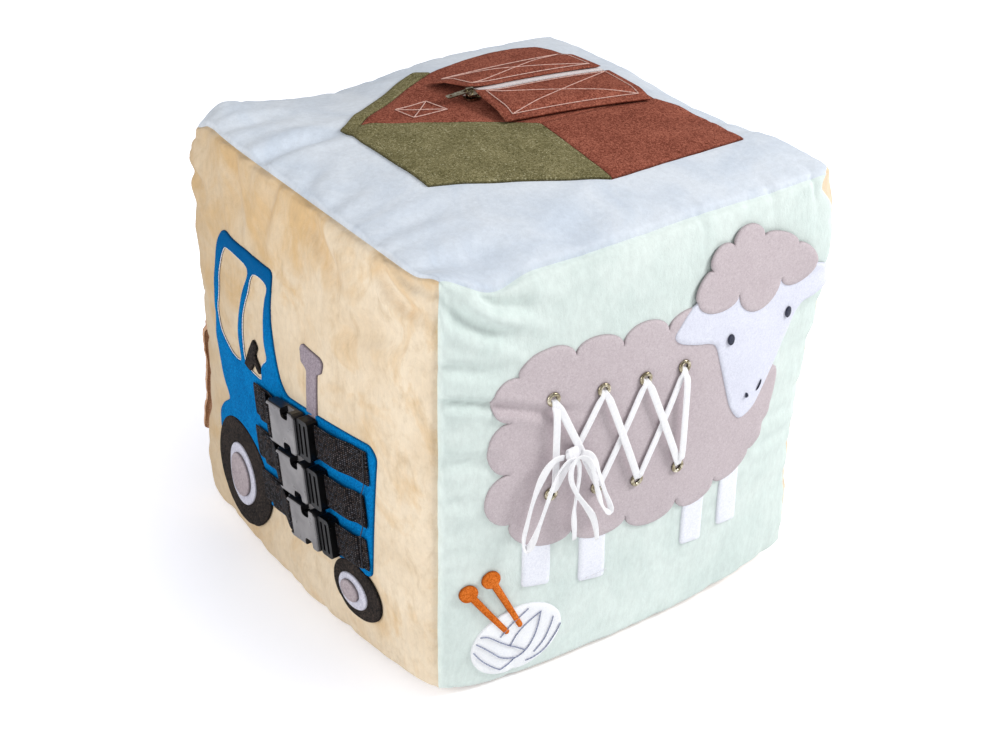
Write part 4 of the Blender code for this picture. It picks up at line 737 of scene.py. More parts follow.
THREAD_SIDES = 6
THREAD_STEP = 0.0007
STITCH_DIP_SHARE = 0.72
STITCH_STEP = 0.002
# Lengthwise places and widths of a stitch
STITCH_SHARES = [(0.0, 0.25), (0.12, 0.8), (0.35, 1.0), (0.65, 1.0), (0.88, 0.8), (1.0, 0.25)]
STITCH_SINK_SHARE = 0.55
BAND_EDGE_SHARE = 0.15
BAND_EDGE_POWER = 6


def new_piece(name, verts, faces, material, body="block"):
    """A smooth piece of one material that rides on a body."""
    mesh = bpy.data.meshes.new(name)
    mesh.from_pydata([tuple(map(float, v)) for v in verts], [], faces)
    mesh.validate()
    mesh.update()
    mesh.materials.append(MATERIALS[material])
    mesh.shade_smooth()
    piece = bpy.data.objects.new(name, mesh)
    bpy.context.scene.collection.objects.link(piece)
    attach(piece, body)
    return piece


def edited(piece, edit):
    """Runs one bmesh operation on a piece's mesh."""
    bm = bmesh.new()
    bm.from_mesh(piece.data)
    edit(bm)
    bm.to_mesh(piece.data)
    bm.free()


def grid_faces(rows, columns, first=0, rows_close=False, columns_close=False, flip=False):
    """Faces between neighbouring points of a grid that is stored row by row."""
    faces = []
    for i in range(rows if rows_close else rows - 1):
        here = first + i * columns
        ahead = first + (i + 1) % rows * columns
        for j in range(columns if columns_close else columns - 1):
            beside = (j + 1) % columns
            face = (here + j, ahead + j, ahead + beside, here + beside)
            faces.append((face[0], *face[:0:-1]) if flip else face)
    return faces


def tube_faces(rings, sides, first=0):
    """Faces of a closed tube whose rings of points are stored one after the other."""
    faces = grid_faces(rings, sides, first, columns_close=True, flip=True)
    final = first + (rings - 1) * sides
    faces.append(tuple(range(first + sides - 1, first - 1, -1)))
    faces.append(tuple(range(final, final + sides)))
    return faces


def ring(centre, across, up, radius):
    """Round section of a thread."""
    angles = [2 * math.pi * k / THREAD_SIDES for k in range(THREAD_SIDES)]
    return [centre + (across * math.cos(angle) + up * math.sin(angle)) * radius for angle in angles]


def threads(name, lines, radius, material, body="block", dip=1.0):
    """Round threads along lines of points, drawn in to a share of their radius at each fourth one."""
    verts = []
    faces = []
    for line in lines:
        faces += tube_faces(len(line), THREAD_SIDES, len(verts))
        normal = way_at(line, 0).orthogonal()
        for i, point in enumerate(line):
            along = way_at(line, i)
            normal = (normal - along * normal.dot(along)).normalized()
            verts += ring(point, normal, along.cross(normal), radius * (dip if i % 4 == 0 else 1.0))
    return new_piece(name, verts, faces, material, body)


def sewn_line(name, lines, radius, material, body="block"):
    """Machine-sewn lines: thread that dips into the cloth at every stitch."""
    return threads(name, lines, radius, material, body, STITCH_DIP_SHARE)


def drawn_lines(name, face, lines, radius, material, lift=FELT_TOP):
    """Sewn lines along places in a face, in metres."""
    return sewn_line(name, [line_on_face(face, line, THREAD_STEP, lift) for line in lines], radius, material)


def stitches(name, runs, up, radius, material):
    """Short stitches: each run is (start, end), bowed a little away from the cloth."""
    verts = []
    faces = []
    for start, end in runs:
        side = (end - start).normalized().cross(up).normalized()
        faces += tube_faces(len(STITCH_SHARES), THREAD_SIDES, len(verts))
        for share, wide in STITCH_SHARES:
            middle = start.lerp(end, share) + up * radius * (4 * share * (1 - share) - STITCH_SINK_SHARE)
            verts += ring(middle, side, up, radius * wide)
    return new_piece(name, verts, faces, material)


def face_stitches(name, face, line, pitch, share, radius, material, lift):
    """Stitches of an even pitch along a line of places in a face, each a share of the pitch long."""
    walk = Walk(line_on_face(face, line, STITCH_STEP, lift))
    count = max(1, round(walk.length / pitch))
    gap = walk.length / count
    spans = [(gap * (k + 0.5 - share / 2), gap * (k + 0.5 + share / 2)) for k in range(count)]
    runs = [(walk.at(low), walk.at(high)) for low, high in spans]
    return stitches(name, runs, Vector(face_axes(face)[2]), radius, material)


def band(name, centres, sides, ups, width, thick, material, body="block", cells=10, widths=None):
    """Flat woven band with soft edges along a path, with its length and width as its UVs, in metres."""
    section = []
    for k in range(cells + 1):
        x = -1 + 2 * k / cells
        fall = (1 - abs(x) ** BAND_EDGE_POWER) ** 0.5
        section.append((x, fall * (1 - BAND_EDGE_SHARE) + BAND_EDGE_SHARE))
    outline = section + [(x, -y) for x, y in section[::-1]]
    verts = []
    for i, (centre, side, up) in enumerate(zip(centres, sides, ups)):
        share = widths[i] if widths else 1.0
        verts += [centre + side * (x * width / 2 * share) + up * (y * thick / 2) for x, y in outline]
    piece = new_piece(name, verts, tube_faces(len(centres), len(outline)), material, body)
    lengths = Walk(centres).lengths
    layer = piece.data.uv_layers.new(name="length_and_width")
    for loop in piece.data.loops:
        row, column = divmod(loop.vertex_index, len(outline))
        layer.data[loop.index].uv = (lengths[row], outline[column][0] * width / 2)
    edited(piece, lambda bm: bmesh.ops.recalc_face_normals(bm, faces=bm.faces[:]))
    return piece


# The stuffed cover and the foam inside

CORE_SHARE = 0.962
CORE_CELLS = 20
WELD = 0.00002
PANEL_SLOTS = {"front": "cream_plush", "right": "mint_plush", "top": "sky_plush", "back": "cream_plush",
               "left": "cream_plush", "bottom": "cream_plush"}


def panel_shares(cells):
    """Shares across and up for a face's grid of points, which is denser towards the seams."""
    even = np.linspace(-1, 1, cells + 1)
    steps = (1 - SEAM_CROWD_SHARE) * even + SEAM_CROWD_SHARE * np.sin(math.pi / 2 * even)
    a, b = np.meshgrid(steps, steps, indexing="ij")
    return a.ravel(), b.ravel()


def soft_panel(face, slot):
    """One side of the stuffed cover, out to its seams."""
    points = soft_surface(face, *panel_shares(PANEL_CELLS))
    piece = new_piece(f"{face}_cover", points, grid_faces(PANEL_CELLS + 1, PANEL_CELLS + 1), slot)
    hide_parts(f"{face}_panel")


def foam_body():
    """Foam filling just inside the cover."""
    verts = []
    faces = []
    for face in FACES:
        faces += grid_faces(CORE_CELLS + 1, CORE_CELLS + 1, len(verts))
        verts += list(CENTRE + (soft_surface(face, *panel_shares(CORE_CELLS)) - CENTRE) * CORE_SHARE)
    piece = new_piece("foam_filling", verts, faces, "cream_plush")
    edited(piece, lambda bm: bmesh.ops.remove_doubles(bm, verts=bm.verts[:], dist=WELD))
    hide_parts("foam_core")


# Flat outlines, in metres in a face


def places(shares):
    """Places in a face, from shares of the half edge."""
    return [Vector((u * HALF, v * HALF)) for u, v in shares]


def smooth_outline(points, steps=8):
    """Closed outline that runs smoothly through the points."""
    result = []
    for i in range(len(points)):
        corners = [points[(i + k) % len(points)] for k in (-1, 0, 1, 2)]
        result += [catmull(*corners, step / steps) for step in range(steps)]
    return result


def rounded_outline(points, radius, steps=5):
    """Closed outline with straight sides and rounded corners."""
    result = []
    for i, corner in enumerate(points):
        back = points[i - 1] - corner
        ahead = points[(i + 1) % len(points)] - corner
        reach = min(radius, back.length / 2.2, ahead.length / 2.2)
        start = corner + back.normalized() * reach
        end = corner + ahead.normalized() * reach
        for step in range(steps + 1):
            t = step / steps
            result.append(start * (1 - t) ** 2 + corner * 2 * t * (1 - t) + end * t ** 2)
    return result


def scalloped_outline(notches, bulges, steps=14):
    """Closed outline whose stretches between notches bulge outwards like wool."""
    count = len(notches)
    turning = sum(notches[i - 1].cross(notches[i]) for i in range(count))
    side = 1 if turning < 0 else -1
    result = []
    for i in range(count):
        start = notches[i]
        chord = notches[(i + 1) % count] - start
        out = Vector((-chord.y, chord.x)) * side
        for step in range(steps):
            t = (1 - math.cos(math.pi * step / steps)) / 2
            bulge = bulges[i] * 2 * math.sqrt(max(0.0, t * (1 - t)))
            result.append(start + chord * t + out * bulge)
    return result


def ellipse_outline(shares, steps=72, centre=Vector((0, 0))):
    """Ellipse from the shares of its middle and its half sizes, beside a centre in metres."""
    (u, v), (wide, tall) = shares
    result = []
    for step in range(steps):
        angle = 2 * math.pi * step / steps
        result.append(centre + Vector((u + wide * math.cos(angle), v + tall * math.sin(angle))) * HALF)
    return result


def resampled(outline, gap):
    """The closed outline with points at most a gap apart."""
    result = []
    for i, start in enumerate(outline):
        end = outline[(i + 1) % len(outline)]
        parts = max(1, math.ceil((end - start).length / gap))
        result += [start.lerp(end, k / parts) for k in range(parts)]
    return [p for i, p in enumerate(result) if (p - result[i - 1]).length > gap * OUTLINE_LEAST_SHARE]


def edge_distance(points, loops):
    """Distance of each point to the nearest outline."""
    best = np.full(len(points), 1e9)
    for loop in loops:
        start = np.array([tuple(p) for p in loop])
        chord = np.roll(start, -1, axis=0) - start
        length = np.maximum((chord ** 2).sum(1), 1e-18)
        for i in range(len(start)):
            t = np.clip(((points - start[i]) @ chord[i]) / length[i], 0, 1)
            gap = points - (start[i] + t[:, None] * chord[i])
            best = np.minimum(best, np.hypot(gap[:, 0], gap[:, 1]))
    return best


def inside(points, loops):
    """Whether each point is inside the outer outline and outside the holes."""
    result = np.zeros(len(points), bool)
    for loop in loops:
        start = np.array([tuple(p) for p in loop])
        end = np.roll(start, -1, axis=0)
        for (x0, y0), (x1, y1) in zip(start, end):
            if y0 == y1:
                continue
            crosses = (points[:, 1] > y0) != (points[:, 1] > y1)
            at = x0 + (points[:, 1] - y0) * (x1 - x0) / (y1 - y0)
            result ^= crosses & (points[:, 0] < at)
    return result


def flat_mesh(loops, cell, rim):
    """Triangles that fill the outlines, with a rim of points just inside the edge."""
    border = []
    edges = []
    inner = []
    for loop in loops:
        first = len(border)
        count = len(loop)
        area = sum(loop[i - 1].cross(loop[i]) for i in range(count))
        side = (1 if area > 0 else -1) * (1 if loop is loops[0] else -1)
        for i, point in enumerate(loop):
            border.append(tuple(point))
            edges.append((first + i, first + (i + 1) % count))
            tangent = (loop[(i + 1) % count] - loop[i - 1]).normalized()
            inner.append(tuple(point + Vector((-tangent.y, tangent.x)) * side * rim))
    border = np.array(border)
    inner = np.array(inner)
    low = border.min(0)
    high = border.max(0)
    rows = []
    row_height = cell * math.sqrt(3) / 2
    for j in range(int((high[1] - low[1]) / row_height) + 2):
        shift = cell / 2 * (j % 2)
        for i in range(int((high[0] - low[0]) / cell) + 2):
            rows.append((low[0] + i * cell + shift, low[1] + j * row_height))
    fill = np.array(rows)
    fill = fill[inside(fill, loops)]
    fill = fill[edge_distance(fill, loops) > rim + cell * FILL_LEAST_SHARE]
    inner = inner[inside(inner, loops)]
    inner = inner[edge_distance(inner, loops) > rim * RIM_LEAST_SHARE]
    points = [Vector(p) for p in (*border, *inner, *fill)]
    made, _, triangles, *_ = delaunay_2d_cdt(points, edges, [], 0, 1e-7)
    flat = np.array([tuple(p) for p in made])
    middles = np.array([flat[list(t)].mean(0) for t in triangles])
    kept = [tuple(t) for t, keep in zip(triangles, inside(middles, loops)) if keep]
    return flat, kept


def rounded_rise(away, width):
    """Rise of a rounded edge: zero at the edge, and one from its width inwards."""
    return np.sqrt(np.clip(1 - (1 - np.clip(away / width, 0, 1)) ** 2, 0, 1))


def eased(share):
    """A share that starts and ends its way from 0 to 1 softly."""
    return share * share * (3 - 2 * share)


def felt_piece(name, face, loops, material, layer=0, node=None, thick=FELT_DRAWN, cell=FELT_CELL,
               edge=FELT_EDGE, lift=None):
    """Felt laid on the cover: rounded cut edge, soft top that follows what lies under it.

    A layer is a count of felts that lie under it. A lift says how far each place stands off.
    """
    rng = random.Random(name)
    loops = [resampled(loop, cell * OUTLINE_STEP_SHARE) for loop in loops]
    flat, triangles = flat_mesh(loops, cell, edge)
    away = edge_distance(flat, loops)
    base = layer * FELT_TOP
    raised = lift(flat) if lift else np.zeros(len(flat))
    full = FELT_RIM_SHARE + (1 - FELT_RIM_SHARE) * rounded_rise(away, edge)
    jitter = np.array([rng.uniform(-1, 1) for _ in range(len(flat))]) * FELT_JITTER
    verts = list(on_face(face, flat, base + FELT_GAP + thick * full + raised + jitter))
    sides = dict.fromkeys((t[k], t[(k + 1) % 3]) for t in triangles for k in range(3))
    rim_edges = [pair for pair in sides if pair[::-1] not in sides]
    rim_points = sorted({i for pair in rim_edges for i in pair})
    low = on_face(face, flat[rim_points], (raised + base)[rim_points] - FELT_GAP / 2)
    lower = {index: len(verts) + k for k, index in enumerate(rim_points)}
    verts += list(low)
    faces = triangles + [(j, i, lower[i], lower[j]) for i, j in rim_edges]
    piece = new_piece(name, verts, faces, material)
    # painted shadow: part of the way up the rounded cut edge, and full on the side wall
    edge_shadow_mask = piece.data.attributes.new("painted_edge_shadow", "FLOAT", "POINT")
    edge_shadow_share = np.clip(1 - away / edge, 0, 1) * FELT_EDGE_SHADOW_SHARE
    edge_shadow_mask.data.foreach_set("value", list(edge_shadow_share) + [1.0] * len(low))
    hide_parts(node or name)


# Front face: outlines of the tractor, as shares of the half edge
TRACTOR_SHARES = [
    (-0.645, 0.61), (-0.155, 0.615), (-0.165, 0.46), (-0.175, 0.35), (-0.12, 0.18), (-0.09, 0.11),
    (-0.035, 0.06), (0.62, 0.14), (0.665, 0.10), (0.60, -0.55), (-0.30, -0.65), (-0.60, -0.70),
    (-0.79, -0.49), (-0.78, -0.39), (-0.73, -0.325), (-0.635, -0.26), (-0.69, -0.18), (-0.735, -0.05),
    (-0.765, 0.02), (-0.762, 0.12), (-0.768, 0.20), (-0.757, 0.32), (-0.732, 0.42), (-0.70, 0.53),
]
REAR_WINDOW_SHARES = [
    (-0.65, 0.495), (-0.59, 0.535), (-0.39, 0.525), (-0.43, 0.40), (-0.48, 0.24), (-0.49, 0.14),
    (-0.47, 0.03), (-0.55, 0.015), (-0.63, 0.04), (-0.695, 0.075), (-0.73, 0.13), (-0.735, 0.19),
    (-0.712, 0.28), (-0.695, 0.385),
]
FRONT_WINDOW_SHARES = [
    (-0.335, 0.52), (-0.205, 0.525), (-0.215, 0.45), (-0.235, 0.36), (-0.23, 0.24), (-0.207, 0.16),
    (-0.258, 0.10), (-0.265, 0.03), (-0.32, 0.02), (-0.39, 0.025), (-0.43, 0.05), (-0.445, 0.12),
    (-0.448, 0.21), (-0.43, 0.30), (-0.385, 0.405),
]
LEVER_SHARES = [
    (-0.33, 0.205), (-0.292, 0.175), (-0.315, 0.125), (-0.255, 0.065), (-0.275, 0.05), (-0.325, 0.085),
    (-0.362, 0.025), (-0.425, 0.035), (-0.37, 0.14),
]
EXHAUST_SHARES = [
    (0.09, 0.37), (0.11, 0.39), (0.25, 0.38), (0.27, 0.36), (0.26, 0.31), (0.225, 0.29),
    (0.225, 0.04), (0.145, 0.03), (0.145, 0.28), (0.10, 0.30),
]
REAR_WHEEL_SHARES = ((-0.527, -0.60), (0.275, 0.27))
REAR_RIM_SHARES = ((-0.535, -0.615), (0.137, 0.160))
REAR_HUB_SHARES = ((-0.535, -0.615), (0.095, 0.112))
FRONT_WHEEL_PLACE_SHARE = 0.485
FRONT_WHEEL_SHARES = ((0.0, 0.0), (0.178, 0.138))
FRONT_RIM_SHARES = ((-0.020, -0.012), (0.106, 0.084))
FRONT_HUB_SHARES = ((-0.028, -0.009), (0.064, 0.050))
FIRST_MOUTH_SHARES = (0.160, -0.025)
STRAP_LEFT_SHARES = (0.47, 0.54, 0.58)
STRAP_RIGHT_SHARES = (0.465, 0.375, 0.310)

# Straps and buckles
WEBBING_WIDTH = 0.020
WEBBING = 0.0012
STRAP_GAP = 0.0022
STRAP_STAGGER = 0.0081
STRAP_RISE = math.radians(7)
WHEEL_CLEARANCE = 0.0003
SEAT_GAP = 0.0003
RUN_GAP = 0.0003
SOCKET_LENGTH = 0.031
SOCKET_WIDTH = 0.025
SOCKET_HEIGHT = 0.0076
SOCKET_LIFT = 0.0006
BAR = 0.0024
PLUG_BASE = 0.0120
PLUG_TRAVEL = 0.0170
PLUG_CLEARANCE = 0.0004
CLIP_BAR = 0.0008
LOOP_RADIUS = BAR * 0.71 + RUN_GAP + WEBBING / 2
BAR_HEIGHT = SOCKET_LIFT + SOCKET_HEIGHT / 2
WEBBING_MIDDLE = SEAT_GAP + CLIP_BAR + RUN_GAP + WEBBING / 2
WINDOW_THREAD = 0.00028
WINDOW_THREAD_INSET = 0.0003
END_THREAD = 0.0003
END_THREAD_SHARES = ((0.604, -0.03), (0.566, -0.42))
ROUTE_STEP = 0.0012
TRACTOR_CORNER_SHARE = 0.04


def strap_mouth(number):
    """Place of a socket's mouth, each one lower and further right than the last."""
    step = Vector((STRAP_STAGGER, -SOCKET_WIDTH - STRAP_GAP))
    return Vector(FIRST_MOUTH_SHARES) * HALF + step * (number - 1)


def front_axle():
    """Middle of the front wheel, which stands just clear of the lowest socket."""
    mouth = strap_mouth(3)
    across = FRONT_WHEEL_PLACE_SHARE * HALF
    border = mouth.y + (across - mouth.x) * math.tan(STRAP_RISE) - SOCKET_WIDTH / 2
    return Vector((across, border - WHEEL_CLEARANCE - FRONT_WHEEL_SHARES[1][1] * HALF))


def window_outlines():
    return [smooth_outline(places(shares), 5) for shares in (REAR_WINDOW_SHARES, FRONT_WINDOW_SHARES)]


def tractor():
    """The tractor's body with its windows, then its lever, exhaust and wheels."""
    corner = TRACTOR_CORNER_SHARE * HALF
    body = rounded_outline(places(TRACTOR_SHARES), corner)
    lever = rounded_outline(places(LEVER_SHARES), corner / 3)
    exhaust = rounded_outline(places(EXHAUST_SHARES), corner / 3)
    felt_piece("tractor_felt", "front", [body, *window_outlines()], "blue_felt", node="tractor_body")
    felt_piece("gear_lever_felt", "front", [lever], "black_felt", layer=0.35, node="gear_lever")
    felt_piece("exhaust_felt", "front", [exhaust], "pipe_felt", node="exhaust_pipe")
    middle = Vector((0, 0))
    axle = front_axle()
    wheels = [("rear_tyre", REAR_WHEEL_SHARES, "black_felt", 0.45, middle),
              ("rear_rim", REAR_RIM_SHARES, "rim_felt", 1, middle),
              ("rear_hub", REAR_HUB_SHARES, "grey_felt", 2, middle),
              ("front_tyre", FRONT_WHEEL_SHARES, "black_felt", 0.45, axle),
              ("front_rim", FRONT_RIM_SHARES, "rim_felt", 1, axle),
              ("front_hub", FRONT_HUB_SHARES, "grey_felt", 2, axle)]
    for node, shares, material, layer, centre in wheels:
        felt_piece(f"{node}_felt", "front", [ellipse_outline(shares, centre=centre)], material, layer=layer,
                   node=node)


def window_edges():
    """Pale thread along the inside of the tractor's window openings."""
    lines = []
    for outline in window_outlines():
        middle = sum(outline, Vector((0, 0))) / len(outline)
        inner = [point + (middle - point).normalized() * WINDOW_THREAD_INSET for point in outline]
        lines.append([*inner, inner[0]])
    lift = FELT_GAP + WINDOW_THREAD
    drawn_lines("window_threads", "front", lines, WINDOW_THREAD, "white_thread", lift)


def strap_frame(number):
    """Frame on the felt at a socket's mouth, with X along the strap and Z straight out."""
    return felt_frame("front", strap_mouth(number), STRAP_RISE)


def strap_height(matrix, along):
    """Height of the felt in a strap's frame, where it stands highest across the webbing."""
    back = face_matrix("front").inverted()
    heights = []
    for side in (-0.5, 0.0, 0.5):
        spot = back @ (matrix @ Vector((along, side * WEBBING_WIDTH, 0)))
        heights.append(ground_height("front", spot.x, spot.y) + FELT_TOP - spot.z)
    return max(heights)


def webbing_band(name, path, matrix, node):
    """Webbing along a path of places along its strap's frame and heights in it."""
    flat = open_curve([Vector((x, 0, z)) for x, z in path], ROUTE_STEP)
    turn = matrix.to_3x3()
    ways = [way_at(flat, i) for i in range(len(flat))]
    ups = [turn @ Vector((-way.z, 0, way.x)) for way in ways]
    sides = [turn @ Vector((0, 1, 0))] * len(flat)
    piece = band(name, [matrix @ p for p in flat], sides, ups, WEBBING_WIDTH, WEBBING, "black_webbing",
                 cells=14)
    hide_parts(node)


def strap(number, left_share, right_share):
    """A strap's two webbings: one doubled round the socket's bar, one into the plug."""
    matrix = strap_frame(number)
    left = left_share * HALF
    right = right_share * HALF
    lay = SEAT_GAP + WEBBING / 2
    doubled = WEBBING + SEAT_GAP * 2
    bar_x = -SOCKET_LENGTH + BAR / 2
    before_bar = bar_x - BAR * 2

    def laid(along, over=0.0):
        return along, strap_height(matrix, along) + lay + over

    def towards_left(share):
        return before_bar - (left + before_bar) * share

    path = [laid(-left)] + [laid(towards_left(share)) for share in (0.75, 0.5, 0.25)]
    path.append((bar_x - BAR, BAR_HEIGHT - LOOP_RADIUS))
    for angle in even_steps(-math.pi / 2, math.pi / 2, 10):
        path.append((bar_x + LOOP_RADIUS * math.cos(angle), BAR_HEIGHT + LOOP_RADIUS * math.sin(angle)))
    path.append((bar_x - BAR, BAR_HEIGHT + LOOP_RADIUS * 0.93))
    path += [laid(towards_left(share), doubled) for share in (0.30, 0.50, 0.66)]
    webbing_band(f"webbing_left_{number}", path, matrix, f"strap_left_{number}")
    straight = PLUG_BASE + PLUG_TRAVEL + RUN_GAP
    path = [(PLUG_CLEARANCE * 2 + BAR, WEBBING_MIDDLE), (straight, WEBBING_MIDDLE)]
    path += [laid(straight + (right - straight) * share) for share in (0.45, 0.7, 1.0)]
    webbing_band(f"webbing_right_{number}", path, matrix, f"strap_right_{number}")


def strap_end_thread():
    """One sewn line across the right ends of all three straps and the felt between them."""
    (top_u, top_v), (low_u, low_v) = END_THREAD_SHARES
    lean = (top_u - low_u) / (top_v - low_v)
    line = []
    for number in (1, 2, 3):
        mouth = strap_mouth(number)
        matrix = strap_frame(number)
        for share in even_steps(0.5, -0.5, 8):
            across = WEBBING_WIDTH * share
            level = mouth.y + across
            along = (top_u * HALF + (level - top_v * HALF) * lean - mouth.x) / math.cos(STRAP_RISE)
            height = strap_height(matrix, along) + SEAT_GAP + WEBBING + END_THREAD
            line.append(matrix @ Vector((along, across, height)))
    sewn_line("strap_end_thread", [line], END_THREAD, "webbing_thread")


# Right face: the sheep, its lace and the ball of wool
SHEEP_NOTCH_SHARES = [
    (-0.66, 0.555), (-0.39, 0.585), (-0.155, 0.56), (0.08, 0.56), (0.30, 0.57), (0.50, 0.35),
    (0.74, 0.17), (0.615, -0.215), (0.39, -0.285), (0.17, -0.31), (-0.105, -0.295), (-0.39, -0.255),
    (-0.695, -0.13), (-0.71, 0.12), (-0.705, 0.36),
]
SHEEP_BULGE_SHARES = [
    0.29, 0.27, 0.31, 0.26, 0.0, 0.0, 0.16, 0.24, 0.36, 0.31, 0.25, 0.28, 0.44, 0.39, 0.50,
]
FORELOCK_NOTCH_SHARES = [
    (0.23, 0.64), (0.31, 0.76), (0.425, 0.845), (0.585, 0.84), (0.765, 0.75), (0.885, 0.625),
    (0.695, 0.615), (0.455, 0.61),
]
FORELOCK_BULGE_SHARES = [0.22, 0.40, 0.45, 0.17, 0.16, 0.33, 0.46, 0.27]
FACE_SHARES = [
    (0.11, 0.515), (0.13, 0.55), (0.23, 0.635), (0.44, 0.67), (0.76, 0.66), (0.89, 0.62), (0.965, 0.58),
    (0.975, 0.50), (0.90, 0.465), (0.83, 0.44), (0.77, 0.315), (0.71, 0.18), (0.655, 0.09), (0.60, 0.02),
    (0.52, -0.01), (0.465, 0.045), (0.425, 0.13), (0.37, 0.30), (0.34, 0.40), (0.30, 0.43),
    (0.22, 0.45), (0.14, 0.48),
]
LEG_SHARES = [
    [(-0.63, -0.10), (-0.50, -0.10), (-0.487, -0.505), (-0.627, -0.475)],
    [(-0.35, -0.22), (-0.21, -0.22), (-0.197, -0.58), (-0.337, -0.555)],
    [(0.22, -0.26), (0.345, -0.26), (0.36, -0.605), (0.235, -0.59)],
    [(0.435, -0.20), (0.56, -0.20), (0.58, -0.58), (0.455, -0.57)],
]
BALL_SHARES = ((-0.63, -0.74), (0.220, 0.168))
NEEDLE_SHARES = [((-0.875, -0.43), (-0.685, -0.68)), ((-0.775, -0.385), (-0.62, -0.67))]
NEEDLE_HEAD = 0.0052
NEEDLE_WIDTH = 0.0040
NEEDLE_TIP_SHARE = 0.72
NEEDLE_CELL = 0.0012
TOP_EYELET_SHARES = [(-0.507, 0.42), (-0.262, 0.392), (-0.048, 0.378), (0.160, 0.370)]
LOW_EYELET_SHARES = [(-0.511, -0.028), (-0.281, -0.070), (-0.072, -0.106), (0.153, -0.118)]
KNOT_SHARES = (-0.440, 0.160)
LEG_CORNER_SHARE = 0.02


def needle_outline(head, tip):
    """Knitting needle with a round head and a rounded tip."""
    start = Vector(head) * HALF
    end = Vector(tip) * HALF
    along = (end - start).normalized()
    side = Vector((-along.y, along.x))
    opening = math.asin(NEEDLE_WIDTH / 2 / NEEDLE_HEAD)
    outline = []
    for angle in even_steps(opening, 2 * math.pi - opening, 32):
        outline.append(start + along * NEEDLE_HEAD * math.cos(angle) + side * NEEDLE_HEAD * math.sin(angle))
    tip_half = NEEDLE_WIDTH / 2 * NEEDLE_TIP_SHARE
    for angle in even_steps(-math.pi / 2, math.pi / 2, 6):
        outline.append(end + side * tip_half * math.sin(angle) + along * tip_half * math.cos(angle))
    return outline


def sheep():
    """The sheep's felts, and the ball of wool with its two needles."""
    body = scalloped_outline(places(SHEEP_NOTCH_SHARES), SHEEP_BULGE_SHARES)
    forelock = scalloped_outline(places(FORELOCK_NOTCH_SHARES), FORELOCK_BULGE_SHARES)
    for number, shares in enumerate(LEG_SHARES, 1):
        leg = rounded_outline(places(shares), LEG_CORNER_SHARE * HALF, 2)
        felt_piece(f"leg_felt_{number}", "right", [leg], "leg_felt", node=f"sheep_leg_{number}", layer=-0.15)
    felt_piece("sheep_felt_body", "right", [body], "sheep_felt", node="sheep_body")
    felt_piece("sheep_felt_face", "right", [smooth_outline(places(FACE_SHARES), 6)], "white_felt",
               node="sheep_face", layer=0.4)
    felt_piece("sheep_felt_forelock", "right", [forelock], "sheep_felt", node="sheep_forelock", layer=0.74)
    felt_piece("wool_ball_felt", "right", [ellipse_outline(BALL_SHARES)], "ball_felt", node="wool_ball")
    for number, (head, tip) in enumerate(NEEDLE_SHARES, 1):
        felt_piece(f"needle_felt_{number}", "right", [needle_outline(head, tip)], "orange_felt",
                   node=f"knitting_needle_{number}", layer=0.4, cell=NEEDLE_CELL)


# Metal rings and the sheep's lace
EYELET_FLANGE_RADIUS = 0.0040
EYELET_RADIUS = 0.0024
EYELET_WALL = 0.0006
EYELET_FLANGE = 0.0010
EYELET_GAP = 0.0003
EYELET_DEPTH = 0.0030
EYELET_WELL = 0.0028
EYELET_LIP_SHARE = 0.4
EYELET_ROLL_SHARE = 0.85
EYELET_TURNS = 40
LACE_WIDTH = 0.0045
LACE_TAUT_SHARE = 0.98
LACE = 0.0008
LACE_LEVEL = 0.0008
LACE_STEP = LACE + 0.0005
LACE_FIRST_LIFT = 0.0002
LACE_THIRD_SHARE = 0.6
WRAP_WIDTH_SHARE = 1.05
# Way of the lace out of an eyelet: distance from its middle, and height
LOW_WAY = [(0.0, -0.0016), (0.0010, 0.0002), (0.0022, 0.0012), (0.0044, 0.0014)]
LACE_CLIMB = 0.0080
STRAND_STEP = 0.0011
NARROW_SHARE = 0.70
NARROW_START = 0.0012
NARROW_REACH = 0.0060
KNOT_SIZE = 0.0044
KNOT_TURNS = 1.6
KNOT_STEPS = 72
KNOT_LEAN = 0.0030
KNOT_TALL_SHARE = 0.80
KNOT_DEEP_SHARE = 0.46
KNOT_LIFT_SHARE = 0.42
KNOT_GROW_SHARE = 0.10
KNOT_SKEW_SHARE = 0.18
KNOT_CORE_SHARES = (0.95, 0.72, 0.40)
END_WIDTH_SHARE = 0.74
END_RIPPLE_SHARE = 0.16
END_RIPPLE_RATE = 7.3
TURN_REACH_SHARE = 0.05
# Free ends of the lace, from the knot: bow loop, back past the knot, then the tail
LEFT_END = [
    (-0.0051, 0.0000, 0.0049), (-0.0105, 0.0005, 0.0056), (-0.0155, -0.0025, 0.0062),
    (-0.0200, -0.0100, 0.0062), (-0.0235, -0.0210, 0.0058), (-0.0260, -0.0330, 0.0054),
    (-0.0275, -0.0440, 0.0050), (-0.0265, -0.0505, 0.0054), (-0.0235, -0.0470, 0.0063),
    (-0.0200, -0.0360, 0.0070), (-0.0160, -0.0230, 0.0074), (-0.0120, -0.0100, 0.0078),
    (-0.0080, -0.0032, 0.0080), (-0.0030, -0.0005, 0.0080), (0.0015, -0.0035, 0.0078),
    (0.0030, -0.0120, 0.0070), (0.0025, -0.0240, 0.0062), (0.0020, -0.0360, 0.0054),
    (0.0035, -0.0470, 0.0046), (0.0045, -0.0550, 0.0040),
]
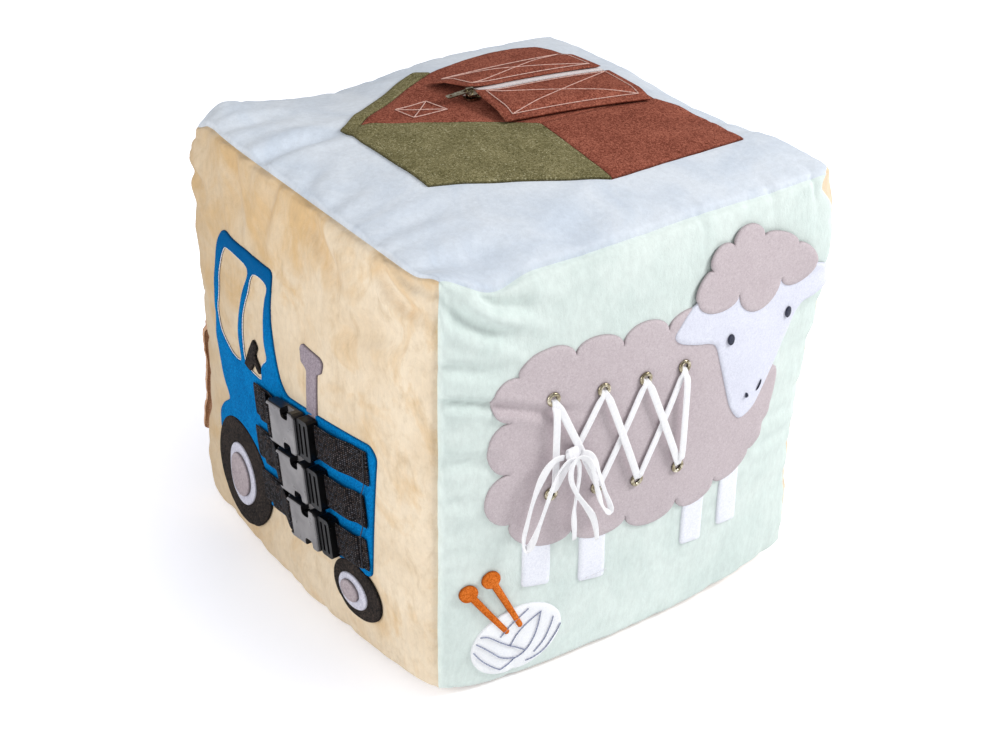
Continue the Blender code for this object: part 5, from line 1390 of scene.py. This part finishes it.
RIGHT_END = [
    (0.0051, 0.0000, 0.0049), (0.0100, -0.0025, 0.0054), (0.0140, -0.0090, 0.0056),
    (0.0175, -0.0190, 0.0054), (0.0215, -0.0300, 0.0050), (0.0250, -0.0385, 0.0050),
    (0.0255, -0.0430, 0.0056), (0.0215, -0.0410, 0.0064), (0.0170, -0.0320, 0.0072),
    (0.0130, -0.0200, 0.0079), (0.0095, -0.0080, 0.0088), (0.0050, -0.0012, 0.0094),
    (0.0000, 0.0005, 0.0096), (-0.0035, -0.0045, 0.0094), (-0.0030, -0.0130, 0.0088),
    (0.0015, -0.0230, 0.0080), (0.0080, -0.0330, 0.0070), (0.0135, -0.0420, 0.0060),
    (0.0170, -0.0510, 0.0050), (0.0190, -0.0600, 0.0044),
]


def eyelet(number, shares):
    """Turned ring with a rolled flange, set in the sheep's felt, and closed by a small well."""
    matrix = felt_frame("right", Vector(shares) * HALF)
    inner = EYELET_RADIUS - EYELET_WALL
    middle = (inner + EYELET_FLANGE_RADIUS) / 2
    half = (EYELET_FLANGE_RADIUS - inner) / 2
    profile = [(inner, -EYELET_DEPTH), (inner, EYELET_FLANGE * EYELET_LIP_SHARE)]
    for angle in even_steps(math.pi, 0, 8):
        height = EYELET_FLANGE * (EYELET_LIP_SHARE + EYELET_ROLL_SHARE * math.sin(angle))
        profile.append((middle + half * math.cos(angle), height))
    profile.append((EYELET_FLANGE_RADIUS, 0.0))
    verts = []
    for angle in even_steps(0, 2 * math.pi, EYELET_TURNS)[:-1]:
        verts += [matrix @ Vector((r * math.cos(angle), r * math.sin(angle), z)) for r, z in profile]
    faces = grid_faces(EYELET_TURNS, len(profile), rows_close=True)
    starts = [k * len(profile) for k in range(EYELET_TURNS)]
    faces += [(len(verts), ahead, here) for here, ahead in zip(starts, starts[1:] + starts[:1])]
    verts.append(matrix @ Vector((0, 0, -EYELET_WELL)))
    piece = new_piece(f"eyelet_ring_{number}", verts, faces, "antique_metal")
    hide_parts(f"eyelet_{number}")


def over_sheep(points):
    """World points over the top of the sheep's felt, from (u, v, height)."""
    heights = np.array([FELT_TOP + p[2] for p in points])
    return [Vector(p) for p in on_face("right", [(p[0], p[1]) for p in points], heights, soft=False)]


def lace_ribbon(name, local, widths, twist=None):
    """Flat lace through points (u, v, height) over the sheep, and the line of its middle."""
    centres = over_sheep(local)
    out = Vector(face_axes("right")[2])
    sides = []
    ups = []
    for i in range(len(centres)):
        along = way_at(centres, i)
        side = out.cross(along).normalized()
        if twist:
            side = (Matrix.Rotation(twist(i / (len(centres) - 1)), 3, along) @ side).normalized()
        sides.append(side)
        ups.append(along.cross(side).normalized())
    piece = band(name, centres, sides, ups, LACE_WIDTH * LACE_TAUT_SHARE, LACE, "cotton_lace", cells=8,
                 widths=widths)
    return piece, centres


def strand(number, start, end, level):
    """One crossing of the lace, which comes up out of one eyelet and goes down another."""
    length = (end - start).length
    inner = [(LACE_CLIMB, level), (length / 2, level), (length - LACE_CLIMB, level)]
    way = LOW_WAY + inner + [(length - out, height) for out, height in LOW_WAY[::-1]]
    local = open_curve([Vector((*start.lerp(end, along / length), height)) for along, height in way],
                       STRAND_STEP)
    widths = []
    for point in local:
        near = min((point.xy - start).length, (point.xy - end).length)
        share = min(1.0, max(0.0, near - NARROW_START) / NARROW_REACH)
        widths.append(NARROW_SHARE + (1 - NARROW_SHARE) * eased(share))
    piece, _ = lace_ribbon(f"lace_strand_{number}", local, widths)
    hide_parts("sheep_lace")


def lacing():
    """The lace's eight crossings between the eyelets."""
    top = places(TOP_EYELET_SHARES)
    low = places(LOW_EYELET_SHARES)
    first = LACE_LEVEL + LACE_FIRST_LIFT
    second = first + LACE_STEP
    third = second + LACE_STEP * LACE_THIRD_SHARE
    route = [(low[0], top[1], first), (low[1], top[2], first), (low[2], top[3], first),
             (low[3], top[2], second), (low[2], top[1], second), (low[1], top[0], second),
             (low[0], top[0], third), (low[3], top[3], third)]
    for number, way in enumerate(route, 1):
        strand(number, *way)


def lace_end(name, node, route, turns):
    """One limp free end of the lace, with its bow loop."""
    knot = Vector((*KNOT_SHARES, 0)) * HALF
    local = open_curve([knot + Vector(point) for point in route], ROUTE_STEP)

    def twist(share):
        return sum(amount * math.exp(-((share - middle) / TURN_REACH_SHARE) ** 2) for middle, amount in turns)

    count = len(local) - 1
    waves = [math.sin(END_RIPPLE_RATE * math.pi * i / count) for i in range(count + 1)]
    piece, centres = lace_ribbon(name, local, [END_WIDTH_SHARE + END_RIPPLE_SHARE * w for w in waves], twist)
    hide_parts(node)
    route_length(centres)


def lace_knot():
    """Pulled knot: a turn of lace wrapped tightly round the two loops."""
    knot = Vector(KNOT_SHARES) * HALF
    height = LACE_LEVEL + LACE_STEP + LACE / 2 + EYELET_GAP + KNOT_SIZE * KNOT_LIFT_SHARE
    middle = over_sheep([(knot.x, knot.y, height)])[0]
    across, up, out = map(Vector, face_axes("right"))
    tall = up * KNOT_TALL_SHARE
    deep = out * KNOT_DEEP_SHARE
    centres = []
    sides = []
    ups = []
    for share in even_steps(0, 1, KNOT_STEPS):
        angle = 2 * math.pi * KNOT_TURNS * share
        ray = (tall * math.sin(angle) + deep * math.cos(angle)) * KNOT_SIZE * (1 + KNOT_GROW_SHARE * share)
        way = (tall * math.cos(angle) - deep * math.sin(angle)).normalized()
        side = (across + way * KNOT_SKEW_SHARE).normalized()
        centres.append(middle + ray + across * (share - 0.5) * KNOT_LEAN)
        sides.append(side)
        ups.append(side.cross(way).normalized())
    wrap = band("lace_wrap", centres, sides, ups, LACE_WIDTH * WRAP_WIDTH_SHARE, LACE, "cotton_lace",
                cells=8)
    wide, tall, deep = (way * KNOT_SIZE * share for way, share in zip((across, up, out), KNOT_CORE_SHARES))
    rings, around = 10, 16
    core = []
    for lat in even_steps(0, math.pi, rings):
        for turn in even_steps(0, 2 * math.pi, around)[:-1]:
            level = tall * math.cos(turn) + deep * math.sin(turn)
            core.append(middle + wide * math.cos(lat) + level * math.sin(lat))
    faces = grid_faces(rings + 1, around, columns_close=True)
    body = new_piece("lace_knot_core", core, faces, "cotton_lace")
    for part in (wrap, body):
        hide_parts("lace_knot")


# Small marks on the sheep and the ball
EYE_SHARES = {"near": ((0.416, 0.418), (0.018, 0.025)), "far": ((0.761, 0.435), (0.015, 0.026))}
EYE_FELT = 0.0005
EYE_CELL = 0.0010
EYE_EDGE = 0.0003
NOSTRIL_SHARES = {"near": ((0.546, 0.110), (0.548, 0.085)), "far": ((0.640, 0.145), (0.612, 0.098))}
NOSTRIL_RADIUS = {"near": 0.0009, "far": 0.0005}
HEM_SHARES = [(-0.345, -0.545), (-0.185, -0.535)]
HEM_PITCH = 0.0040
HEM_THREAD = 0.0002
BALL_THREAD = 0.00036
BALL_THREAD_STEP = 0.0015
# Arcs of wool across the ball, in shares of its radii
BALL_ARC_SHARES = [
    [(-0.85, 0.47), (-0.67, 0.40), (-0.42, 0.14), (-0.16, -0.12), (0.19, -0.43)],
    [(-0.93, 0.30), (-0.76, 0.11), (-0.54, -0.16), (-0.35, -0.39), (-0.05, -0.58)],
    [(-0.98, 0.05), (-0.79, -0.27), (-0.56, -0.56), (-0.35, -0.77)],
    [(0.20, 0.86), (0.00, 0.69), (-0.17, 0.55), (-0.40, 0.27)],
    [(0.50, 0.64), (0.24, 0.45), (0.02, 0.22), (-0.16, -0.12)],
    [(0.48, 0.62), (0.45, 0.30), (0.36, -0.11), (0.19, -0.43), (-0.05, -0.62), (-0.35, -0.77)],
    [(0.77, 0.34), (0.72, 0.03), (0.60, -0.34), (0.38, -0.60)],
    [(0.97, 0.00), (0.88, -0.25), (0.66, -0.62), (0.42, -0.76), (0.21, -0.79)],
]


def sheep_details():
    """Eyes and nostrils on the face, and a sewn hem on a leg."""
    for name, shares in EYE_SHARES.items():
        felt_piece(f"sheep_eye_{name}", "right", [ellipse_outline(shares, 28)], "dark_thread", layer=1.35,
                   node="sheep_face", thick=EYE_FELT, cell=EYE_CELL, edge=EYE_EDGE)
    out = Vector(face_axes("right")[2])
    for name, shares in NOSTRIL_SHARES.items():
        ends = [Vector(p) for p in on_face("right", np.array(shares) * HALF, FELT_TOP * 1.40)]
        stitches(f"sheep_nostril_{name}", [ends], out, NOSTRIL_RADIUS[name], "dark_thread")
    face_stitches("leg_hem", "right", places(HEM_SHARES), HEM_PITCH, 0.7, HEM_THREAD, "white_thread",
                  FELT_TOP * 0.9)


def ball_threads():
    """Wool wound across the ball."""
    (u, v), (wide, tall) = BALL_SHARES
    lines = []
    for arc in BALL_ARC_SHARES:
        curve = open_curve([Vector((u + x * wide, v + y * tall, 0)) * HALF for x, y in arc], BALL_THREAD_STEP)
        lines.append([p.xy for p in curve])
    drawn_lines("ball_threads", "right", lines, BALL_THREAD, "blue_grey_thread")


# Top face: the barn with its zipped doors
ROOF_SHARES = [
    (-0.385, -0.595), (0.325, -0.60), (0.67, 0.085), (0.10, 0.13), (-0.35, -0.515), (-0.715, 0.09),
    (-0.775, 0.03),
]
FRONT_WALL_SHARES = [
    (-0.35, -0.515), (-0.715, 0.09), (-0.735, 0.14), (-0.79, 0.33), (-0.825, 0.50), (-0.82, 0.63),
    (-0.785, 0.745), (-0.70, 0.78), (-0.58, 0.795), (0.07, 0.79), (0.10, 0.13),
]
SIDE_WALL_SHARES = [(0.10, 0.13), (0.67, 0.085), (0.615, 0.825), (0.345, 0.87), (0.19, 0.845), (0.07, 0.79)]
DOOR_LEFT_HINGE_SHARES = ((-0.555, -0.03), (-0.58, 0.745))
DOOR_RIGHT_HINGE_SHARES = ((0.045, -0.01), (0.115, 0.745))
ZIP_SHARES = ((-0.290, 0.0), (-0.262, 0.765))
GABLE_WINDOW_SHARES = [(-0.39, -0.309), (-0.385, -0.149), (-0.247, -0.128), (-0.259, -0.294)]
DOOR_FELT = 0.0016
DOOR_RISE = 0.0027
DOOR_SEAM = 0.014
DOOR_QUILT = 0.0005
DOOR_BORDER = 0.0045
DOOR_QUILT_REACH = 0.004
DOOR_CURL = 0.0025
DOOR_CURL_RATE = 4
DOOR_START_SHARE = 0.3
ZIP_TAPE = 0.0006
TAPE_WIDTH = 0.0078
COIL_WIDTH = 0.0016
COIL_HEIGHT = 0.0015
COIL_HALF_GAP = 0.0005
DOOR_TO_ZIP = 0.0046
SLIDER_LENGTH = 0.0088
SLIDER_PLATE = 0.0007
SLIDER_GAP = 0.0003
COIL_PITCH = 0.0014
COIL_WIRE = 0.00034
ZIP_STOP_SHARE = 0.04
ZIP_SAMPLES = 24
TAPE_STEPS = 60
TAPE_UNDER_SHARE = 0.3
TAPE_LIFT = 0.001
COIL_POINTS = 14
DOOR_THREAD = 0.00028
WINDOW_CROSS_THREAD = 0.00030
DOOR_LINE_STEPS = 60
DOOR_CELLS = 56
DOOR_EDGE = 0.0006


def crossed(corners):
    """Lines along the border of a four-cornered patch and from corner to corner."""
    return [[*corners, corners[0]], [corners[0], corners[2]], [corners[1], corners[3]]]


def barn():
    """The barn's walls and roof, and the cross sewn on its gable."""
    felt_piece("barn_front_felt", "top", [places(FRONT_WALL_SHARES)], "barn_felt", node="barn_front_wall")
    felt_piece("barn_side_felt", "top", [places(SIDE_WALL_SHARES)], "barn_felt", node="barn_side_wall")
    felt_piece("barn_roof_felt", "top", [places(ROOF_SHARES)], "roof_felt", layer=0.10, node="barn_roof")
    window = crossed(places(GABLE_WINDOW_SHARES))
    drawn_lines("gable_window", "top", window, WINDOW_CROSS_THREAD, "pink_thread")


def zip_arc():
    """Near end, direction, arc centre, radius and angles of the zip over the crowned top."""
    start, end = (Vector(share) * HALF for share in ZIP_SHARES)
    length = (end - start).length
    samples = []
    for share in even_steps(0, 1, ZIP_SAMPLES):
        spot = start + (end - start) * share
        samples.append((length * share, ground_height("top", spot.x, spot.y) + FELT_TOP))
    low, middle, high = samples[0], samples[ZIP_SAMPLES // 2], samples[-1]
    chord_rise = middle[1] - (low[1] + high[1]) / 2
    span = math.hypot(high[0] - low[0], high[1] - low[1])
    radius = (span ** 2 / 4 + chord_rise ** 2) / (2 * chord_rise)
    along = Vector((high[0] - low[0], high[1] - low[1])) / span
    out = Vector((-along.y, along.x))
    centre = Vector(((low[0] + high[0]) / 2, (low[1] + high[1]) / 2)) + out * (chord_rise - radius)
    clear = SLIDER_GAP * 2 + SLIDER_PLATE + COIL_HEIGHT / 2
    reach = max(math.hypot(x - centre.x, z - centre.y) for x, z in samples) + clear
    first = math.atan2(low[1] - centre.y, low[0] - centre.x)
    final = math.atan2(high[1] - centre.y, high[0] - centre.x)
    return start, (end - start).normalized(), centre, reach, first, final


ZIP = zip_arc()


def zip_frame():
    start, direction = ZIP[0], ZIP[1]
    side = Vector((-direction.y, direction.x))
    turn = Matrix(((direction.x, side.x, 0), (direction.y, side.y, 0), (0, 0, 1))).to_4x4()
    return face_matrix("top") @ Matrix.Translation(Vector((start.x, start.y, 0))) @ turn


def zip_side(name, side, from_share, body):
    """Woven tape and the nylon coil sewn along its inner edge."""
    _, _, centre, radius, first, final = ZIP
    matrix = zip_frame()

    def at(share, across, height):
        angle = first + (final - first) * share
        reach = radius + height
        return matrix @ Vector((centre.x + reach * math.cos(angle), side * across,
                                centre.y + reach * math.sin(angle)))

    inner = COIL_HALF_GAP + COIL_WIDTH * TAPE_UNDER_SHARE
    middle = (inner + TAPE_WIDTH) / 2
    shares = even_steps(from_share, 1, TAPE_STEPS)
    centres = [at(share, middle, 0.0) for share in shares]
    ups = [(at(share, middle, TAPE_LIFT) - at(share, middle, 0.0)).normalized() for share in shares]
    sides = [matrix.to_3x3() @ Vector((0, side, 0))] * len(centres)
    tape = band(f"{name}_cloth", centres, sides, ups, TAPE_WIDTH - inner, ZIP_TAPE, "zip_tape", body=body)
    count = round(abs(final - first) * radius * (1 - from_share) / COIL_PITCH) * COIL_POINTS
    line = []
    for k, share in enumerate(even_steps(from_share, 1, count)):
        angle = 2 * math.pi * k / COIL_POINTS
        across = COIL_HALF_GAP + COIL_WIDTH / 2 * (1 + math.cos(angle))
        line.append(at(share, across, (COIL_HEIGHT / 2 - COIL_WIRE) * math.sin(angle)))
    coil = threads(f"{name}_coil", [line], COIL_WIRE, "zip_coil", body)
    for piece in (tape, coil):
        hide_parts(name)


def zip_sides():
    """Both halves of the zip. The right one starts past the slider and the felt that stops it."""
    length = (ZIP_SHARES[1][1] - ZIP_SHARES[0][1]) * HALF
    zip_side("zip_tape_left", 1, 0.0, "left_door")
    zip_side("zip_tape_right", -1, SLIDER_LENGTH / length + ZIP_STOP_SHARE, "right_door")


def zip_height():
    """Height of the doors' lower sides over the felt, where they clear the zip."""
    return SLIDER_GAP * 2 + SLIDER_PLATE + COIL_HEIGHT / 2 + ZIP_TAPE / 2 + DOOR_RISE - SLIDER_PLATE * 3


class Door:
    """Felt door over the zip: sewn down at its hinge, raised and a little curled at its free edges."""

    def __init__(self, hinge_shares, side):
        start, direction = ZIP[0], ZIP[1]
        far = Vector(ZIP_SHARES[1]) * HALF
        across = Vector((-direction.y, direction.x)) * side
        self.near_hinge, self.far_hinge = (Vector(share) * HALF for share in hinge_shares)
        self.near_edge = start + across * DOOR_TO_ZIP + direction * SLIDER_LENGTH * DOOR_START_SHARE
        self.far_edge = far + across * DOOR_TO_ZIP

    def spot(self, inward, along):
        """Place and height of the lower side, from shares of the door's width and length."""
        hinge = self.near_hinge.lerp(self.far_hinge, along)
        edge = self.near_edge.lerp(self.far_edge, along)
        rise = eased(min(1.0, inward * (edge - hinge).length / DOOR_SEAM))
        curl = DOOR_CURL * inward ** 2 * max(0.0, 1 - along * DOOR_CURL_RATE) ** 2
        height = FELT_TOP + SEAT_GAP * 2 + (zip_height() - SEAT_GAP) * rise + curl
        flat = hinge.lerp(edge, inward)
        return flat.x, flat.y, height

    def surface(self, grid, lift):
        """World points for (inward, along) pairs, lifted over the door's lower side."""
        local = np.array([self.spot(*pair) for pair in grid])
        return on_face("top", local[:, :2], local[:, 2] + lift, soft=False)


def door(name, hinge_shares, side, body):
    """One door, with its border and cross sewn on it."""
    shape = Door(hinge_shares, side)
    steps = np.linspace(0, 1, DOOR_CELLS + 1)
    grid = [(s, t) for s in steps for t in steps]
    width = (shape.near_edge - shape.near_hinge).length
    length = (shape.far_edge - shape.near_edge).length
    away = np.array([min(s * width, (1 - s) * width, t * length, (1 - t) * length) for s, t in grid])
    inner = rounded_rise(away, DOOR_EDGE)
    quilt = DOOR_QUILT * np.clip((away - DOOR_BORDER) / DOOR_QUILT_REACH, 0, 1)
    top = shape.surface(grid, DOOR_FELT * (0.5 + 0.5 * inner) + quilt)
    low = shape.surface(grid, DOOR_FELT * (0.5 - 0.5 * inner))
    count = DOOR_CELLS + 1
    total = count * count
    faces = grid_faces(count, count) + grid_faces(count, count, total, flip=True)
    rim = [i * count for i in range(count)] + [DOOR_CELLS * count + j for j in range(1, count)]
    rim += [i * count + DOOR_CELLS for i in range(DOOR_CELLS - 1, -1, -1)]
    rim += [j for j in range(DOOR_CELLS - 1, 0, -1)]
    for a, b in zip(rim, rim[1:] + rim[:1]):
        faces.append((a, total + a, total + b, b))
    piece = new_piece(f"{name}_felt", [*top, *low], faces, "barn_felt", body)
    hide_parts(name)
    lines = []
    for line in door_lines():
        dense = []
        for start, end in zip(line, line[1:]):
            dense += [tuple(start.lerp(end, k / DOOR_LINE_STEPS)) for k in range(DOOR_LINE_STEPS)]
        dense.append(tuple(line[-1]))
        lines.append([Vector(p) for p in shape.surface(dense, DOOR_FELT + DOOR_QUILT)])
    sewn_line(f"{name}_stitches", lines, DOOR_THREAD, "pink_thread", body)


def door_lines():
    """Sewn border and cross of a door, in shares of its width and length."""
    left, right, near, far = 0.12, 0.92, 0.065, 0.935
    return crossed([Vector(corner) for corner in ((left, near), (right, near), (right, far), (left, far))])


# Left face: a band of tan felt with a wavy edge
TRIM_NOTCH_SHARES = [
    (0.86, 0.36), (0.985, 0.34), (0.99, 0.16), (0.99, -0.04), (0.99, -0.24), (0.99, -0.44),
    (0.98, -0.64), (0.88, -0.66), (0.86, -0.46), (0.85, -0.24), (0.85, -0.02), (0.85, 0.18),
]
TRIM_BULGE_SHARE = 0.07
# Where the trim's flare starts, and over how much of the face it grows: across, then down
TRIM_FLARE_ACROSS = (0.86, 0.12)
TRIM_FLARE_DOWN = (0.03, 0.16)
TRIM_FLARE_POWER = 1.5
TRIM_FLARE = 0.0105
TRIM_RIPPLE_SHARE = 0.07
TRIM_RIPPLE = 0.0052


def trim_lift(flat):
    """The trim's outer edge stands off the cover towards the front, below its upper third."""
    inner, across = TRIM_FLARE_ACROSS
    upper, down = TRIM_FLARE_DOWN
    share = np.clip((flat[:, 0] / HALF - inner) / across, 0, 1)
    lower = np.clip((upper - flat[:, 1] / HALF) / down, 0, 1)
    ripple = 1 - TRIM_RIPPLE_SHARE + TRIM_RIPPLE_SHARE * np.sin(flat[:, 1] / TRIM_RIPPLE)
    return TRIM_FLARE * share ** TRIM_FLARE_POWER * ripple * lower


def side_trim():
    bulges = [TRIM_BULGE_SHARE] * len(TRIM_NOTCH_SHARES)
    felt_piece("side_trim_felt", "left", [scalloped_outline(places(TRIM_NOTCH_SHARES), bulges)], "tan_felt",
               node="side_felt_trim", lift=trim_lift)


# Rounding of the rigid pieces, in metres, and the least angle of an edge that gets it
BUCKLE_ROUNDING = 0.0003
SLIDER_ROUNDING = 0.00012
PULL_ROUNDING = 0.00015
ROUNDED_ANGLE = math.radians(35)


def dress_hardware():
    """Rounds the edges of the rigid pieces that stay as solids, and gives them their finish."""
    rigid = [(f"buckle_socket_{number}", "grey_plastic", BUCKLE_ROUNDING) for number in (1, 2, 3)]
    rigid += [(f"buckle_plug_{number}", "black_plastic", BUCKLE_ROUNDING) for number in (1, 2, 3)]
    rigid += [("zip_slider", "antique_metal", SLIDER_ROUNDING),
              ("zip_pull", "antique_metal", PULL_ROUNDING)]
    for node, material, radius in rigid:
        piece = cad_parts[node]
        piece.data.materials.clear()
        piece.data.materials.append(MATERIALS[material])
        rounding = piece.modifiers.new("rounded_edges", "BEVEL")
        rounding.width = radius
        rounding.segments = 3
        rounding.limit_method = "ANGLE"
        rounding.angle_limit = ROUNDED_ANGLE
        rounding.harden_normals = False


# Plain floor and soft light
FLOOR_SIZE = 12
FLOOR_DROP = 0.0004
WORLD_STRENGTH = 0.455
# How far from the block the floor's glow starts to grow and is full, and its strength there. The weaker glow
# near the block paints shade round it
GLOW_AND_SHADE_SPAN = (0.14, 0.33, 0.24, 0.66)


def stage():
    """Pale floor, which the camera and glossy surfaces see a little brighter away from the block, so that
    painted shade lies round the block. The glow's bluish tint cools that shade.
    """
    bpy.ops.mesh.primitive_plane_add(size=FLOOR_SIZE, location=(0, 0, -FLOOR_DROP))
    floor = bpy.context.object
    floor.name = "floor"
    look = Look("floor", roughness=0.9, specular=0.1)
    look.colour((0.96, 0.97, 0.98, 1))
    path = look.node("ShaderNodeLightPath")
    seen = look.math("MAXIMUM", path.outputs["Is Camera Ray"], path.outputs["Is Glossy Ray"])
    away = look.node("ShaderNodeVectorMath", {0: look.place()}, operation="LENGTH").outputs["Value"]
    strength = look.math("MULTIPLY", seen, look.span(away, *GLOW_AND_SHADE_SPAN))
    # bluish glow: a painted cool tint in the floor's shade
    glow = look.node("ShaderNodeEmission", {"Color": (0.98, 1.0, 1.14, 1), "Strength": strength})
    total = look.node("ShaderNodeAddShader", {0: look.shader.outputs[0], 1: glow.outputs[0]})
    output = next(n for n in look.tree.nodes if n.type == "OUTPUT_MATERIAL")
    look.feed(output.inputs["Surface"], total.outputs[0])
    floor.data.materials.append(look.material)


def surroundings():
    """Plain light from all round, and pure white where the camera looks past the floor."""
    world = bpy.data.worlds.new("world")
    bpy.context.scene.world = world
    world.use_nodes = True
    tree = world.node_tree
    background = tree.nodes["Background"]
    background.inputs["Color"].default_value = (1, 1, 1, 1)
    path = tree.nodes.new("ShaderNodeLightPath")
    clear = tree.nodes.new("ShaderNodeMath")
    clear.operation = "MAXIMUM"
    tree.links.new(path.outputs["Is Camera Ray"], clear.inputs[0])
    tree.links.new(path.outputs["Is Transmission Ray"], clear.inputs[1])
    strength = tree.nodes.new("ShaderNodeMapRange")
    strength.inputs["To Min"].default_value = WORLD_STRENGTH
    strength.inputs["To Max"].default_value = 1.0
    tree.links.new(clear.outputs[0], strength.inputs["Value"])
    tree.links.new(strength.outputs[0], background.inputs["Strength"])


def area_light(name, place, aim, size, power):
    """Square lamp at a place, turned towards an aim."""
    lamp = bpy.data.lights.new(name, "AREA")
    lamp.size = size
    lamp.energy = power
    item = bpy.data.objects.new(name, lamp)
    bpy.context.scene.collection.objects.link(item)
    item.location = place
    item.rotation_euler = (Vector(aim) - Vector(place)).to_track_quat("-Z", "Y").to_euler()


# Everything, in the order in which it is made

for face_name, slot_name in PANEL_SLOTS.items():
    soft_panel(face_name, slot_name)
tractor()
for strap_number, end_shares in enumerate(zip(STRAP_LEFT_SHARES, STRAP_RIGHT_SHARES), 1):
    strap(strap_number, *end_shares)
sheep()
window_edges()
strap_end_thread()
foam_body()
for eyelet_number, eyelet_shares in enumerate(TOP_EYELET_SHARES + LOW_EYELET_SHARES, 1):
    eyelet(eyelet_number, eyelet_shares)
lacing()
lace_end("lace_tail_left", "lace_end_left", LEFT_END, [(0.10, 0.5), (0.36, -0.9), (0.62, 0.6), (0.86, -0.5)])
lace_end("lace_tail_right", "lace_end_right", RIGHT_END,
         [(0.12, -0.5), (0.33, 1.0), (0.58, -0.6), (0.82, 0.6)])
lace_knot()
sheep_details()
ball_threads()
barn()
zip_sides()
door("door_left", DOOR_LEFT_HINGE_SHARES, 1, "left_door")
door("door_right", DOOR_RIGHT_HINGE_SHARES, -1, "right_door")
side_trim()
dress_hardware()
stage()
surroundings()
area_light("key", (0.74, 0.88, 1.03), (0, 0, 0.14), 0.5, 14.6)
area_light("front_fill", (0.20, -0.92, 0.50), (0.02, 0, 0.12), 0.5, 4.0)
bpy.context.scene.view_settings.view_transform = "Standard"
